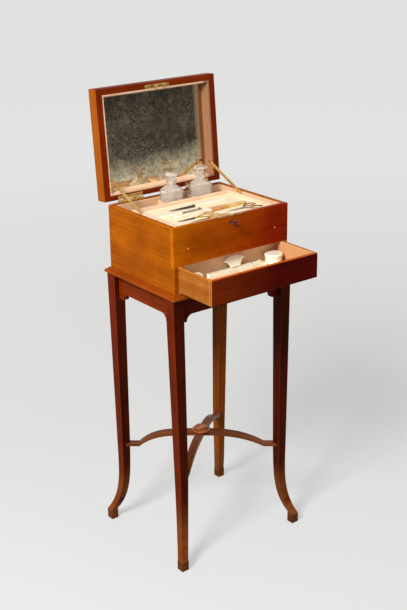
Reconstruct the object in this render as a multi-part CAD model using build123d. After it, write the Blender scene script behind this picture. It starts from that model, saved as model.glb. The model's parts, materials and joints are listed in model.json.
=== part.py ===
"""Antique fitted dressing box on a four-legged stand.

Millimetres, +Z up, X to the right, the drawer opens towards -Y.
The object is modelled as it is shown: lid open a little past upright, drawer pulled out, bottles raised.
Heights are measured from the floor. Y is measured from the middle of the case until the last step, which
moves the whole object so that its origin lies under the middle of its outline.
"""

import os
from math import asin, atan2, cos, degrees, hypot, radians, sin, sqrt

from build123d import *

# ---------------------------------------------------------------- driving dimensions: stand
stand_height = 692.2          # floor to the underside of the case
stand_top_thickness = 11.2    # moulded board under the case
stand_top_overhang = 12.0     # how far its lower moulding stands out from the case
upper_step_height = 3.5       # small upper step of the moulding
upper_step_overhang = 5.0
moulding_radius = 6.0         # quarter round of the lower moulding
upper_step_radius = 2.2

leg_top_size = 29.8           # square section under the stand top
leg_knee_size = 23.4          # square section where the sabre curve starts
leg_ankle_size = 18.4         # square section on top of the foot
leg_proud_x = 8.3             # leg stands out from the case side
leg_proud_y = 5.2             # leg stands out from the case front
leg_lean_x = 5.5              # leg centre moves inwards down to the knee
leg_lean_y = 4.5              # leg centre moves outwards down to the knee
knee_height = 230.0
foot_kick_x = 22.5            # sabre curve outwards, knee to foot
foot_kick_y = 30.2
sabre_power = 4.2             # how late the sabre curve turns outwards
foot_size = 19.6
foot_height = 27.0
foot_chamfer = 1.2
sabre_sections = 9

apron_thickness = 16.0
apron_inset = 13.0            # apron face behind the leg face
apron_height = 47.0           # at mid span
bracket_radius = 16.5         # hollow curve at each end
bracket_flat = 17.0           # flat foot of the bracket beside the leg

stretcher_width = 19.0
stretcher_end_thickness = 7.6
stretcher_crown_thickness = 11.8
stretcher_end_top = 223.4     # height of its top face at the legs
stretcher_rise = 34.6         # arch, from the flat end to the crown
stretcher_flat = 23.0         # flat length beside the leg
arch_power = 2.7              # fullness of the arch
arch_power_back_left = 4.4    # this arm's shoulder is fuller
arch_sections = 8             # points along each half of the arch
boss_radius = 23.0
boss_height = 11.0
boss_bead_share = 0.42        # of the boss height
boss_peg_radius = 5.0
boss_peg_length = 8.0

# ---------------------------------------------------------------- driving dimensions: case
case_width = 330.0
case_depth = 256.0
case_height = 152.8
case_wall = 12.0
front_thickness = 11.0
case_floor_thickness = 4.0
dust_board_thickness = 4.0
lining_thickness = 3.0
lining_drop = 1.2             # lining ends this far under the rim

tray_height = 20.0
tray_drop = 3.0               # tray rim under the case rim
tray_border = 9.0
tray_recess = 8.0
tray_floor_thickness = 4.0
tray_clearance = 0.3
stay_lane = 7.8               # free lane beside the tray, for the lid stays
bearer_lap = 2.0              # bearer reaches this far under the tray

rack_wall = 4.0               # partition behind the tray
rack_divider = 3.0
rack_drop = 5.5               # partition under the case rim
divider_drop = 3.0            # dividers under the partition's top
rack_floor = 2.5
well_clearance = 0.4

# ---------------------------------------------------------------- driving dimensions: lid
lid_open_angle = 94.67        # shown, past upright
lid_overhang_side = 5.0
lid_overhang_front = 4.5
lid_rail_height = 25.0
lid_board_thickness = 5.4
lid_board_edge = 1.0          # broken edge of the board
lid_side_rail = 16.0
lid_front_rail = 14.5
lid_back_rail = 12.0
lid_gap = 0.6                 # between the rims when closed
lid_lining_edge = 4.0
lid_lining_slope = 5.0
lid_lining_set_back = 0.5
mirror_thickness = 2.5
mirror_clearance = 0.5

hinge_length = 70.0
hinge_end_distance = 37.0     # lid end to hinge leaf
hinge_leaf_width = 9.0        # on the rim
hinge_leaf_thickness = 1.2
hinge_pin_offset = 4.4        # pin behind the case back
knuckle_radius = 3.0
hinge_pin_radius = 1.2
hinge_pin_clearance = 0.05
knuckle_gap = 0.3
knuckle_count = 5
screw_head_radius = 2.1
screw_shank_radius = 1.1
screw_length = 9.0
hinge_screw_count = 3

stay_thickness = 2.0
stay_height = 7.5
stay_pivot_along_lid = 48.0   # from the lid's back edge
stay_pivot_inside = 3.0       # inside the lid's rim plane
stay_end_from_back = 103.0    # lower end, in front of the case back, lid open
stay_tongue_length = 16.0
stay_tongue_width = 7.0
stay_lane_clearance = 1.6     # stay to the tray's side
stay_pin_radius = 1.5
stay_pin_clearance = 0.05
stay_pin_head_radius = 2.8
stay_pin_head = 0.8
stay_pin_in_rail = 8.0
stay_collar_gap = 0.3

# ---------------------------------------------------------------- driving dimensions: lock
lock_plate_length = 68.0
lock_plate_width = 7.8
lock_plate_thickness = 1.2
lock_case_length = 56.0
lock_case_height = 30.0
lock_wall = 1.0
lock_from_front = 5.4         # centre of the lock behind the case front
strike_length = 69.0
strike_width = 9.0
strike_thickness = 1.2
staple_spacing = 24.0
staple_thickness = 2.0
staple_width = 4.0
staple_length = 8.5
staple_eye_width = 2.4
staple_eye_height = 3.6
staple_eye_drop = 3.4         # top of the eye under the plate
staple_slot_clearance = 0.6   # staple to the lock, all round
bolt_travel = 5.0             # open to locked
bolt_finger_width = 1.6
bolt_finger_height = 2.6
bolt_finger_rest = 1.5        # finger tip to the staple with the lock open
bolt_upright = 3.0
bolt_bar_height = 3.0
bolt_clearance = 0.3          # sliding bar to the lock's walls
keyhole_drop = 15.2           # key centre under the case rim
key_shank_radius = 1.6
key_clearance = 0.3
key_reach = 12.5              # shank outside the case
key_bit_reach = 5.5
key_bit_width = 3.0
key_bit_thickness = 2.4
key_bow_radius = 7.5
key_bow_hole = 4.4
key_bow_thickness = 2.4
escutcheon_height = 11.0
escutcheon_width = 21.0
escutcheon_thickness = 0.8
stud_radius = 1.8
stud_height = 0.9
stud_round = 0.6              # rounded edge of the head
stud_pin_radius = 0.8
stud_pin_length = 5.0
stud_from_side = 39.5
stud_drop = 52.0

# ---------------------------------------------------------------- driving dimensions: drawer
drawer_out = 118.6            # shown
drawer_height = 58.8
drawer_length = 146.5
drawer_clearance = 0.25
drawer_front_thickness = 8.5
drawer_side_thickness = 6.0
drawer_back_thickness = 6.0
drawer_bottom_thickness = 3.0
drawer_bottom_raise = 2.0
drawer_lining = 1.5
drawer_padding = 7.5          # padded floor of the drawer
drawer_lining_drop = 0.8

pot_radius = 20.0
pot_height = 18.0
pot_wall = 3.5
pot_lid_radius = 21.5
pot_lid_height = 6.5
pot_lid_round = 2.8
pot_lid_spigot = 3.0
pot_lid_clearance = 0.3
pot_from_side = 26.0          # pot centre to the drawer lining
pot_from_back = 25.0

stretcher_tool_length = 162.0
stretcher_tool_jaws = 128.0   # from the tip to the pivot
stretcher_tool_thickness = 9.0
stretcher_tool_width = 16.0
stretcher_tool_tip = 9.0
stretcher_tool_handle = 27.0
stretcher_tool_slot = 0.6
stretcher_tool_turn = -2.0    # degrees, lying a little askew
stretcher_tool_right = 51.0   # right end to the drawer lining
stretcher_tool_from_back = 18.0

polisher_width = 60.0         # from horn to horn of the crescent
polisher_length = 26.0
polisher_thickness = 4.0
polisher_stem = 28.0
polisher_crescent = 7.0       # height of the crest over the horns
polisher_horn = 3.0           # thickness of the crescent's tips
polisher_lean = 65.0          # degrees from level
polisher_x = 15.0

small_case_radius = 18.0      # half-round ivory case against the drawer's back
small_case_length = 12.0
small_case_round = 3.0
small_case_gap = 6.35          # to the glove stretcher's tip
drawer_item_gap = 0.3         # between things that lie beside each other

# ---------------------------------------------------------------- driving dimensions: bottles
bottle_size = 44.0
bottle_body_height = 58.0
bottle_shoulder = 10.0
bottle_shoulder_top = 24.0    # width of the shoulder under the neck
bottle_wall = 4.0
bottle_floor = 7.0
bottle_corner = 5.0           # cut corners of the square body
bottle_cavity_corner = 3.0    # cut corners of the cavity under the neck
neck_radius = 10.5
neck_bore = 6.0
neck_height = 14.0
lip_radius = 14.0
lip_height = 4.0
lip_round = 1.2
bottle_sink = 42.0            # travel down into the well
bottle_rest_gap = 0.5         # bottle to the well floor when down
stopper_clearance = 0.15
stopper_plug_length = 11.0
left_bottle_x = -9.4
right_bottle_x = 77.0
stopper_facets = 8
flared_stopper_foot = 7.6     # radius over its corners
flared_stopper_radius = 16.5
flared_stopper_top = 13.2
flared_stopper_flare = 12.0   # height of the widest place
flared_stopper_height = 16.4
flat_stopper_radius = 16.5
flat_stopper_height = 6.5
flat_stopper_edge = 2.2       # chamfers of the disc
flat_stopper_stem = 12.6
flat_stopper_stem_radius = 8.5

# ---------------------------------------------------------------- driving dimensions: tray implements
# each lies along X, so far from the left or right end and from the front edge of the tray's bed
blade_thickness = 1.6
handle_thickness = 6.0
handle_radius = 1.6
handle_lap = 3.0              # tang inside the handle's end

knife_blade_length = 71.5
knife_blade_width = 10.0
knife_handle_length = 93.0
knife_handle_width = 8.5
knife_end_width = 13.0
knife_from_left = 60.7
knife_from_front = 119.7

hook_handle_length = 75.0
hook_handle_width = 9.0
hook_neck_width = 7.0
hook_shank_length = 52.0
hook_radius = 1.4
hook_bend = 3.2
hook_sweep = 200.0            # degrees of the hook's curl
hook_from_left = 2.2
hook_from_front = 89.7

buffer_handle_length = 100.0
buffer_handle_width = 9.0
buffer_sole_length = 105.0
buffer_sole_width = 22.0
buffer_sole_tip = 9.0
buffer_from_right = 20.2
buffer_from_front = 67.7

penknife_blade_length = 52.0
penknife_blade_width = 8.0
penknife_handle_length = 58.0
penknife_handle_width = 9.0
penknife_end_width = 8.0
penknife_from_left = 43.2
penknife_from_front = 13.7

scissors_wire = 2.4           # thickness of the rings and shanks
scissors_blade_width = 8.0
scissors_screw_radius = 2.2
scissors_screw_height = 3.0
embroidery_blade_length = 46.0
embroidery_shank_length = 64.0
embroidery_spread = 24.0      # between the centres of the two rings
embroidery_ring_length = 27.0
embroidery_ring_width = 15.0
embroidery_from_left = 29.2
embroidery_from_front = 42.7
nail_scissors_blade_length = 40.0
nail_scissors_shank_length = 50.0
nail_scissors_spread = 26.0
nail_scissors_ring_length = 34.0
nail_scissors_ring_width = 19.0
nail_scissors_from_right = 5.2
nail_scissors_from_front = 37.7

# ---------------------------------------------------------------- worked out: levels and faces
half_width = case_width / 2
half_depth = case_depth / 2
rim = stand_height + case_height
inner_x = half_width - case_wall
inner_back = half_depth - case_wall
inner_front = -half_depth + front_thickness
case_floor = stand_height + case_floor_thickness
drawer_opening_top = case_floor + drawer_height + 2 * drawer_clearance
dust_board_top = drawer_opening_top + dust_board_thickness
stand_underside = stand_height - stand_top_thickness

leg_top_x = half_width + leg_proud_x - leg_top_size / 2
leg_top_y = half_depth + leg_proud_y - leg_top_size / 2
leg_knee_x = leg_top_x - leg_lean_x
leg_knee_y = leg_top_y + leg_lean_y
foot_x = leg_knee_x + foot_kick_x
foot_y = leg_knee_y + foot_kick_y

pin_y = half_depth + hinge_pin_offset
pin_z = rim + lid_gap / 2
lid_rim = rim + lid_gap
lid_half_width = half_width + lid_overhang_side
lid_front = -half_depth - lid_overhang_front
lid_back = half_depth
lid_depth_inside = lid_rail_height - mirror_thickness

lined_x = inner_x - lining_thickness
lined_back = inner_back - lining_thickness
lined_front = inner_front + lining_thickness
tray_half_width = lined_x - stay_lane
tray_top = rim - tray_drop
tray_bottom = tray_top - tray_height
tray_bed = tray_top - tray_recess
partition_back = lined_back - bottle_size - 2 * well_clearance
partition_front = partition_back - rack_wall
tray_front = lined_front + tray_clearance
tray_back = partition_front - tray_clearance
bed_right = tray_half_width - tray_border
bed_front = tray_front + tray_border
bed_back = tray_back - tray_border
bottle_y = lined_back - well_clearance - bottle_size / 2
well_floor = dust_board_top + rack_floor
bottle_base = well_floor + bottle_rest_gap + bottle_sink

stay_outer_x = tray_half_width + stay_lane_clearance + stay_thickness
stay_inner_x = tray_half_width + stay_lane_clearance

lock_y = -half_depth + lock_from_front
lock_case_thickness = staple_width + 2 * (staple_slot_clearance + lock_wall)
key_z = rim - keyhole_drop
staple_eye_top = rim - staple_eye_drop
bolt_finger_top = staple_eye_top - (staple_eye_height - bolt_finger_height) / 2

drawer_front_face = -half_depth - drawer_out
drawer_back_face = drawer_front_face + drawer_length
drawer_half_width = inner_x - drawer_clearance
drawer_base = case_floor + drawer_clearance
drawer_top = drawer_base + drawer_height
drawer_inner_x = drawer_half_width - drawer_side_thickness
drawer_inner_front = drawer_front_face + drawer_front_thickness
drawer_inner_back = drawer_back_face - drawer_back_thickness
drawer_floor = drawer_base + drawer_bottom_raise + drawer_bottom_thickness
drawer_bed = drawer_floor + drawer_padding
drawer_lined_x = drawer_inner_x - drawer_lining
drawer_lined_back = drawer_inner_back - drawer_lining


# ---------------------------------------------------------------- small helpers
def block(x0, x1, y0, y1, z0, z1):
    """A box between two corners."""
    middle = Pos((x0 + x1) / 2, (y0 + y1) / 2, (z0 + z1) / 2)
    return middle * Box(x1 - x0, y1 - y0, z1 - z0)


def rod(centre, radius, length, direction):
    """A cylinder that starts at a centre and runs along a direction."""
    return extrude(Plane(origin=centre, z_dir=direction) * Circle(radius), length)


def both_sides(part):
    """A part and its mirror image across the middle of the case."""
    return part + mirror(part, about=Plane.YZ)


def opened(part):
    """A lid part, modelled with the lid closed, turned to the lid's open angle."""
    return part.rotate(Axis((0, pin_y, pin_z), (1, 0, 0)), -lid_open_angle)


# ---------------------------------------------------------------- stand
def stand_top():
    lower_height = stand_top_thickness - upper_step_height
    lower_x = half_width + stand_top_overhang
    lower_y = half_depth + stand_top_overhang
    lower = block(-lower_x, lower_x, -lower_y, lower_y, stand_underside, stand_underside + lower_height)
    lower = fillet(lower.faces().sort_by(Axis.Z)[-1].edges(), moulding_radius)
    upper_x = half_width + upper_step_overhang
    upper_y = half_depth + upper_step_overhang
    upper = block(-upper_x, upper_x, -upper_y, upper_y, stand_underside + lower_height, stand_height)
    upper = fillet(upper.faces().sort_by(Axis.Z)[-1].edges(), upper_step_radius)
    return lower + upper


def leg_section(x, y, z, size):
    return Pos(x, y, z) * Rectangle(size, size)


def leg(side_x, side_y):
    """One leg: straight taper to the knee, sabre curve to the ankle, block foot."""
    straight = loft([
        leg_section(leg_knee_x, leg_knee_y, knee_height, leg_knee_size),
        leg_section(leg_top_x, leg_top_y, stand_underside, leg_top_size),
    ], ruled=True)
    curve = []
    for step in range(sabre_sections):
        share = step / (sabre_sections - 1)
        height = knee_height - share * (knee_height - foot_height)
        size = leg_knee_size - share * (leg_knee_size - leg_ankle_size)
        swing = share ** sabre_power
        curve.append(leg_section(
            leg_knee_x + foot_kick_x * swing,
            leg_knee_y + foot_kick_y * swing,
            height,
            size,
        ))
    sabre = loft(curve[::-1])
    foot = Pos(foot_x, foot_y, foot_height / 2) * Box(foot_size, foot_size, foot_height)
    foot = chamfer(foot.faces().sort_by(Axis.Z)[0].edges(), foot_chamfer)
    whole = straight + sabre + foot
    if side_x < 0:
        whole = mirror(whole, about=Plane.YZ)
    if side_y < 0:
        whole = mirror(whole, about=Plane.XZ)
    return whole


def apron_profile(half_span, leg_face):
    """Half lengths along the apron, heights down from the stand top."""
    end_drop = apron_height + bracket_radius
    flat_end = leg_face - bracket_flat
    curve_end = flat_end - bracket_radius
    bend = bracket_radius * (1 - sqrt(0.5))
    right = [
        Line((half_span, 0), (half_span, -end_drop)),
        Line((half_span, -end_drop), (flat_end, -end_drop)),
        ThreePointArc(
            (flat_end, -end_drop),
            (flat_end - bend, -apron_height - bend),
            (curve_end, -apron_height),
        ),
    ]
    left = [mirror(edge, about=Plane.YZ) for edge in right]
    middle = Line((curve_end, -apron_height), (-curve_end, -apron_height))
    top = Line((-half_span, 0), (half_span, 0))
    return make_face([*right, middle, *left, top])


def leg_inner_face(top_centre, lean):
    """Furthest place of a leg's inner face behind an apron, which is cut to it afterwards."""
    share = (apron_height + bracket_radius) / (stand_underside - knee_height)
    size = leg_top_size - share * (leg_top_size - leg_knee_size)
    return max(top_centre - leg_top_size / 2, top_centre + share * lean - size / 2)


def apron_front():
    face_y = -(half_depth + leg_proud_y - apron_inset)
    profile = apron_profile(leg_inner_face(leg_top_x, -leg_lean_x), leg_top_x - leg_top_size / 2)
    frame = Plane(origin=(0, face_y + apron_thickness, stand_underside), x_dir=(1, 0, 0), z_dir=(0, -1, 0))
    return extrude(frame * profile, apron_thickness)


def apron_left():
    face_x = -(half_width + leg_proud_x - apron_inset)
    profile = apron_profile(leg_inner_face(leg_top_y, leg_lean_y), leg_top_y - leg_top_size / 2)
    frame = Plane(origin=(face_x, 0, stand_underside), x_dir=(0, 1, 0), z_dir=(1, 0, 0))
    return extrude(frame * profile, apron_thickness)


def leg_centre_at_stretcher():
    """X and Y of a leg's centre, and its size, at the height where the stretcher meets it."""
    share = (stand_underside - stretcher_end_top) / (stand_underside - knee_height)
    size = leg_top_size - share * (leg_top_size - leg_knee_size)
    return leg_top_x - share * leg_lean_x, leg_top_y + share * leg_lean_y, size


def arch_edge(kink, low, rise, left_power):
    """Curved edge of the arch, from its left kink over the crown to its right kink."""
    points = []
    for step in range(-arch_sections, arch_sections + 1):
        share = step / arch_sections
        power = left_power if step < 0 else arch_power
        points.append((kink * share, low + rise * (1 - abs(share) ** power)))
    return Spline(*points)


def stretcher_bar(angle, left_power):
    """Bar across the stand: flat ends and an arched middle that is a little thicker."""
    leg_x, leg_y, leg_size = leg_centre_at_stretcher()
    leg_distance = hypot(leg_x, leg_y)
    end = leg_distance - stretcher_width / 4
    kink = leg_distance - leg_size / sqrt(2) - stretcher_flat
    top = stretcher_end_top
    under = top - stretcher_end_thickness
    under_rise = stretcher_rise + stretcher_end_thickness - stretcher_crown_thickness
    outline = make_face([
        Line((-end, top), (-kink, top)),
        arch_edge(kink, top, stretcher_rise, left_power),
        Line((kink, top), (end, top)),
        Line((end, top), (end, under)),
        Line((end, under), (kink, under)),
        arch_edge(kink, under, under_rise, left_power),
        Line((-kink, under), (-end, under)),
        Line((-end, under), (-end, top)),
    ])
    along = (cos(radians(angle)), sin(radians(angle)), 0)
    across = (sin(radians(angle)), -cos(radians(angle)), 0)
    frame = Plane(origin=(0, 0, 0), x_dir=along, z_dir=across)
    return extrude(frame * outline, stretcher_width / 2, both=True)


def stretcher_angle():
    leg_x, leg_y, leg_size = leg_centre_at_stretcher()
    return degrees(atan2(leg_y, leg_x))


def halving_cut(angle, joint_height, side):
    """Footprint of the other bar at the crossing, above or below the halving joint."""
    half_width_cut = stretcher_width / 2
    cut = block(
        -stretcher_width, stretcher_width, -half_width_cut, half_width_cut,
        min(0, side * stretcher_width), max(0, side * stretcher_width),
    )
    return Pos(0, 0, joint_height) * cut.rotate(Axis.Z, angle)


def stretcher_boss():
    """Turned boss with a moulded edge and a peg through both bars."""
    base = stretcher_end_top + stretcher_rise
    bead = boss_height * boss_bead_share
    bead_root = boss_radius - bead / 2
    upper_foot = boss_radius - bead
    round_size = boss_height - bead
    round_bend = round_size * (1 - sqrt(0.5))
    outline = make_face([
        Line((0, -boss_peg_length), (boss_peg_radius, -boss_peg_length)),
        Line((boss_peg_radius, -boss_peg_length), (boss_peg_radius, 0)),
        Line((boss_peg_radius, 0), (bead_root, 0)),
        ThreePointArc((bead_root, 0), (boss_radius, bead / 2), (bead_root, bead)),
        Line((bead_root, bead), (upper_foot, bead)),
        ThreePointArc(
            (upper_foot, bead),
            (upper_foot - round_bend, boss_height - round_bend),
            (upper_foot - round_size, boss_height),
        ),
        Line((upper_foot - round_size, boss_height), (0, boss_height)),
        Line((0, boss_height), (0, -boss_peg_length)),
    ])
    return Pos(0, 0, base) * revolve(Plane.XZ * outline, Axis.Z)


# ---------------------------------------------------------------- case
def case_side_right():
    """Full depth beside the drawer, shorter above it, where the front laps over its end."""
    outline = make_face(Polyline(
        (-half_depth, stand_height),
        (half_depth, stand_height),
        (half_depth, rim),
        (inner_front, rim),
        (inner_front, drawer_opening_top),
        (-half_depth, drawer_opening_top),
        close=True,
    ))
    frame = Plane(origin=(inner_x, 0, 0), x_dir=(0, 1, 0), z_dir=(1, 0, 0))
    return extrude(frame * outline, case_wall)


def case_back():
    return block(-inner_x, inner_x, inner_back, half_depth, stand_height, rim)


def case_front():
    return block(-half_width, half_width, -half_depth, inner_front, drawer_opening_top, rim)


def case_bottom():
    return block(-inner_x, inner_x, -half_depth, inner_back, stand_height, case_floor)


def dust_board():
    return block(-inner_x, inner_x, inner_front, inner_back, drawer_opening_top, dust_board_top)


def case_lining():
    """Cloth lining of the upper compartment, thick enough below the tray to carry it."""
    top = rim - lining_drop
    outer = block(-inner_x, inner_x, inner_front, inner_back, dust_board_top, top)
    upper = block(-lined_x, lined_x, lined_front, lined_back, tray_bottom, top)
    bearer_x = tray_half_width - bearer_lap
    bearer_front = tray_front + bearer_lap
    lower = block(-bearer_x, bearer_x, bearer_front, partition_front, dust_board_top, tray_bottom)
    wells = block(-lined_x, lined_x, partition_front, lined_back, dust_board_top, tray_bottom)
    return outer - upper - lower - wells


def implement_tray():
    body = block(-tray_half_width, tray_half_width, tray_front, tray_back, tray_bottom, tray_top)
    bed = block(-bed_right, bed_right, bed_front, bed_back, tray_bed, tray_top)
    under = tray_bed - tray_floor_thickness
    hollow = block(-bed_right, bed_right, bed_front, bed_back, tray_bottom, under)
    return body - bed - hollow


def well_rack():
    """Partition behind the tray, with a divider on each side of each bottle and a lined floor."""
    partition_top = rim - rack_drop
    rack = block(-lined_x, lined_x, partition_front, partition_back, dust_board_top, partition_top)
    rack += block(-lined_x, lined_x, partition_back, lined_back, dust_board_top, well_floor)
    half_well = bottle_size / 2 + well_clearance
    divider_top = partition_top - divider_drop
    for centre in (left_bottle_x, right_bottle_x):
        for edge in (centre - half_well - rack_divider, centre + half_well):
            rack += block(edge, edge + rack_divider, partition_back, lined_back, well_floor, divider_top)
    return rack


# ---------------------------------------------------------------- hinges
def hinge_edges():
    """Left ends of the two hinges."""
    left = -lid_half_width + hinge_end_distance
    return (left, -left - hinge_length)


def hinge_leaf(start, owner):
    """One leaf with its knuckles; the case has the odd knuckles and the lid the even ones."""
    inner_edge = half_depth - hinge_leaf_width
    if owner == "case":
        low = rim - hinge_leaf_thickness
    else:
        low = lid_rim
    high = low + hinge_leaf_thickness
    leaf = block(start, start + hinge_length, inner_edge, half_depth, low, high)
    pitch = hinge_length / knuckle_count
    for number in range(knuckle_count):
        if (number % 2 == 0) != (owner == "case"):
            continue
        x0 = start + number * pitch + knuckle_gap / 2
        x1 = start + (number + 1) * pitch - knuckle_gap / 2
        leaf += block(x0, x1, half_depth, pin_y, low, high)
        leaf += rod((x0, pin_y, pin_z), knuckle_radius, x1 - x0, (1, 0, 0))
    bore = rod((start, pin_y, pin_z), hinge_pin_radius + hinge_pin_clearance, hinge_length, (1, 0, 0))
    return leaf - bore


def hinge_screws(owner):
    """Countersunk screws of both hinges on the case or on the lid."""
    screws = Part()
    row_y = half_depth - hinge_leaf_width / 2
    if owner == "case":
        face, direction = rim, (0, 0, -1)
    else:
        face, direction = lid_rim, (0, 0, 1)
    for start in hinge_edges():
        for number in range(hinge_screw_count):
            x = start + hinge_length * (number + 0.5) / hinge_screw_count
            screws += rod((x, row_y, face), screw_head_radius, hinge_leaf_thickness, direction)
            screws += rod((x, row_y, face), screw_shank_radius, screw_length, direction)
    return screws


def hinge_pins():
    pins = Part()
    for start in hinge_edges():
        pins += rod((start, pin_y, pin_z), hinge_pin_radius, hinge_length, (1, 0, 0))
    return pins


def hinge_pockets(owner):
    """Shallow pockets that the leaves lie in."""
    pockets = Part()
    low = rim - hinge_leaf_thickness if owner == "case" else lid_rim
    high = low + hinge_leaf_thickness
    inner_edge = half_depth - hinge_leaf_width
    for start in hinge_edges():
        pockets += block(start, start + hinge_length, inner_edge, half_depth, low, high)
    return pockets


# ---------------------------------------------------------------- lid, modelled closed
def lid_board():
    low = lid_rim + lid_rail_height
    board = block(-lid_half_width, lid_half_width, lid_front, lid_back, low, low + lid_board_thickness)
    return fillet(board.faces().sort_by(Axis.Z)[-1].edges(), lid_board_edge)


def lid_frame():
    """Two side rails with the front and back rails between them."""
    high = lid_rim + lid_rail_height
    rail_x = lid_half_width - lid_side_rail
    side = block(rail_x, lid_half_width, lid_front, lid_back, lid_rim, high)
    front = block(-rail_x, rail_x, lid_front, lid_front + lid_front_rail, lid_rim, high)
    back = block(-rail_x, rail_x, lid_back - lid_back_rail, lid_back, lid_rim, high)
    return [side, mirror(side, about=Plane.YZ), front, back]


def lid_lining():
    """Padded frame round the mirror, sloping inwards towards the glass."""
    outer_x = lid_half_width - lid_side_rail
    outer_front = lid_front + lid_front_rail
    outer_back = lid_back - lid_back_rail
    low = lid_rim + lid_lining_set_back
    high = lid_rim + lid_depth_inside
    middle_y = (outer_front + outer_back) / 2
    depth = outer_back - outer_front
    edge = 2 * lid_lining_edge
    slope = 2 * lid_lining_slope
    body = block(-outer_x, outer_x, outer_front, outer_back, low, high)
    opening = loft([
        Pos(0, middle_y, low) * Rectangle(2 * outer_x - edge, depth - edge),
        Pos(0, middle_y, high) * Rectangle(2 * outer_x - edge - slope, depth - edge - slope),
    ], ruled=True)
    return body - opening


def mirror_glass():
    x = lid_half_width - lid_side_rail - mirror_clearance
    front = lid_front + lid_front_rail + mirror_clearance
    back = lid_back - lid_back_rail - mirror_clearance
    low = lid_rim + lid_depth_inside
    return block(-x, x, front, back, low, low + mirror_thickness)


def strike_plate():
    """Plate let into the lid's front rail, with two staples that drop into the lock."""
    plate = block(
        -strike_length / 2, strike_length / 2, lock_y - strike_width / 2, lock_y + strike_width / 2,
        lid_rim, lid_rim + strike_thickness,
    )
    for side in (-1, 1):
        x = side * staple_spacing / 2
        staple = block(
            x - staple_thickness / 2, x + staple_thickness / 2,
            lock_y - staple_width / 2, lock_y + staple_width / 2,
            rim - staple_length, lid_rim,
        )
        eye = block(
            x - staple_thickness, x + staple_thickness,
            lock_y - staple_eye_width / 2, lock_y + staple_eye_width / 2,
            staple_eye_top - staple_eye_height, staple_eye_top,
        )
        plate += staple - eye
    return plate


def strike_pocket():
    return block(
        -strike_length / 2, strike_length / 2, lock_y - strike_width / 2, lock_y + strike_width / 2,
        lid_rim, lid_rim + strike_thickness,
    )


# ---------------------------------------------------------------- lid stays
def stay_pivot_closed():
    """Y and Z of the stay's pivot on the lid, with the lid closed."""
    return lid_back - stay_pivot_along_lid, lid_rim + stay_pivot_inside


def stay_pivot_open():
    """Y and Z of the same pivot with the lid open."""
    y, z = stay_pivot_closed()
    turn = radians(-lid_open_angle)
    dy, dz = y - pin_y, z - pin_z
    return pin_y + dy * cos(turn) - dz * sin(turn), pin_z + dy * sin(turn) + dz * cos(turn)


def stay_right():
    """Flat bar from the lid to the case, with a tongue that hangs in the lane beside the tray."""
    upper_y, upper_z = stay_pivot_open()
    lower_y = half_depth - stay_end_from_back
    lower_z = rim
    length = hypot(upper_y - lower_y, upper_z - lower_z)
    slope = degrees(asin((upper_z - lower_z) / length))
    frame = Plane(origin=(stay_inner_x, lower_y, lower_z), x_dir=(0, 1, 0), z_dir=(1, 0, 0))
    bar = Rot(0, 0, slope) * Pos(length / 2, 0) * SlotCenterToCenter(length, stay_height)
    hole = Pos(upper_y - lower_y, upper_z - lower_z) * Circle(stay_pin_radius + stay_pin_clearance)
    tongue = Pos(0, -stay_tongue_length / 2) * Rectangle(stay_tongue_width, stay_tongue_length)
    stay = extrude(frame * bar, stay_thickness) + extrude(frame * tongue, stay_thickness)
    return stay - extrude(frame * hole, stay_thickness)


def stay_pivot_right():
    """Riveted pin through the stay into the lid's side rail, with a collar on the lining."""
    y, z = stay_pivot_closed()
    rail_x = lid_half_width - lid_side_rail
    start = stay_inner_x - stay_collar_gap - stay_pin_head
    collar_start = stay_outer_x + stay_collar_gap
    pin = rod((start, y, z), stay_pin_radius, rail_x + stay_pin_in_rail - start, (1, 0, 0))
    head = rod((start, y, z), stay_pin_head_radius, stay_pin_head, (1, 0, 0))
    collar = rod((collar_start, y, z), stay_pin_head_radius, rail_x - collar_start, (1, 0, 0))
    return pin + head + collar


# ---------------------------------------------------------------- lock, key, studs
def lock_case():
    """Lock let into the top of the front: hollow body with a rim plate."""
    half = lock_case_length / 2
    y0, y1 = lock_y - lock_case_thickness / 2, lock_y + lock_case_thickness / 2
    plate_low = rim - lock_plate_thickness
    low = rim - lock_case_height
    body = block(-half, half, y0, y1, low, plate_low)
    inner_half = half - lock_wall
    body -= block(-inner_half, inner_half, y0 + lock_wall, y1 - lock_wall, low + lock_wall, plate_low)
    plate = block(
        -lock_plate_length / 2, lock_plate_length / 2,
        lock_y - lock_plate_width / 2, lock_y + lock_plate_width / 2,
        plate_low, rim,
    )
    slot_length = staple_thickness + 2 * staple_slot_clearance
    slot_width = staple_width + 2 * staple_slot_clearance
    for side in (-1, 1):
        slot = Box(slot_length, slot_width, lock_plate_thickness)
        plate -= Pos(side * staple_spacing / 2, lock_y, rim - lock_plate_thickness / 2) * slot
    return body + plate - keyhole()


def keyhole():
    """Round hole for the key's shank, from the case front to the middle of the lock."""
    return rod((0, -half_depth, key_z), key_shank_radius + key_clearance, lock_from_front, (0, 1, 0))


def lock_mortise():
    """Space cut in the case front for the lock, its plate and the key."""
    half = lock_case_length / 2
    y0, y1 = lock_y - lock_case_thickness / 2, lock_y + lock_case_thickness / 2
    space = block(-half, half, y0, y1, rim - lock_case_height, rim)
    space += block(
        -lock_plate_length / 2, lock_plate_length / 2,
        lock_y - lock_plate_width / 2, lock_y + lock_plate_width / 2,
        rim - lock_plate_thickness, rim,
    )
    return space + keyhole()


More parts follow.
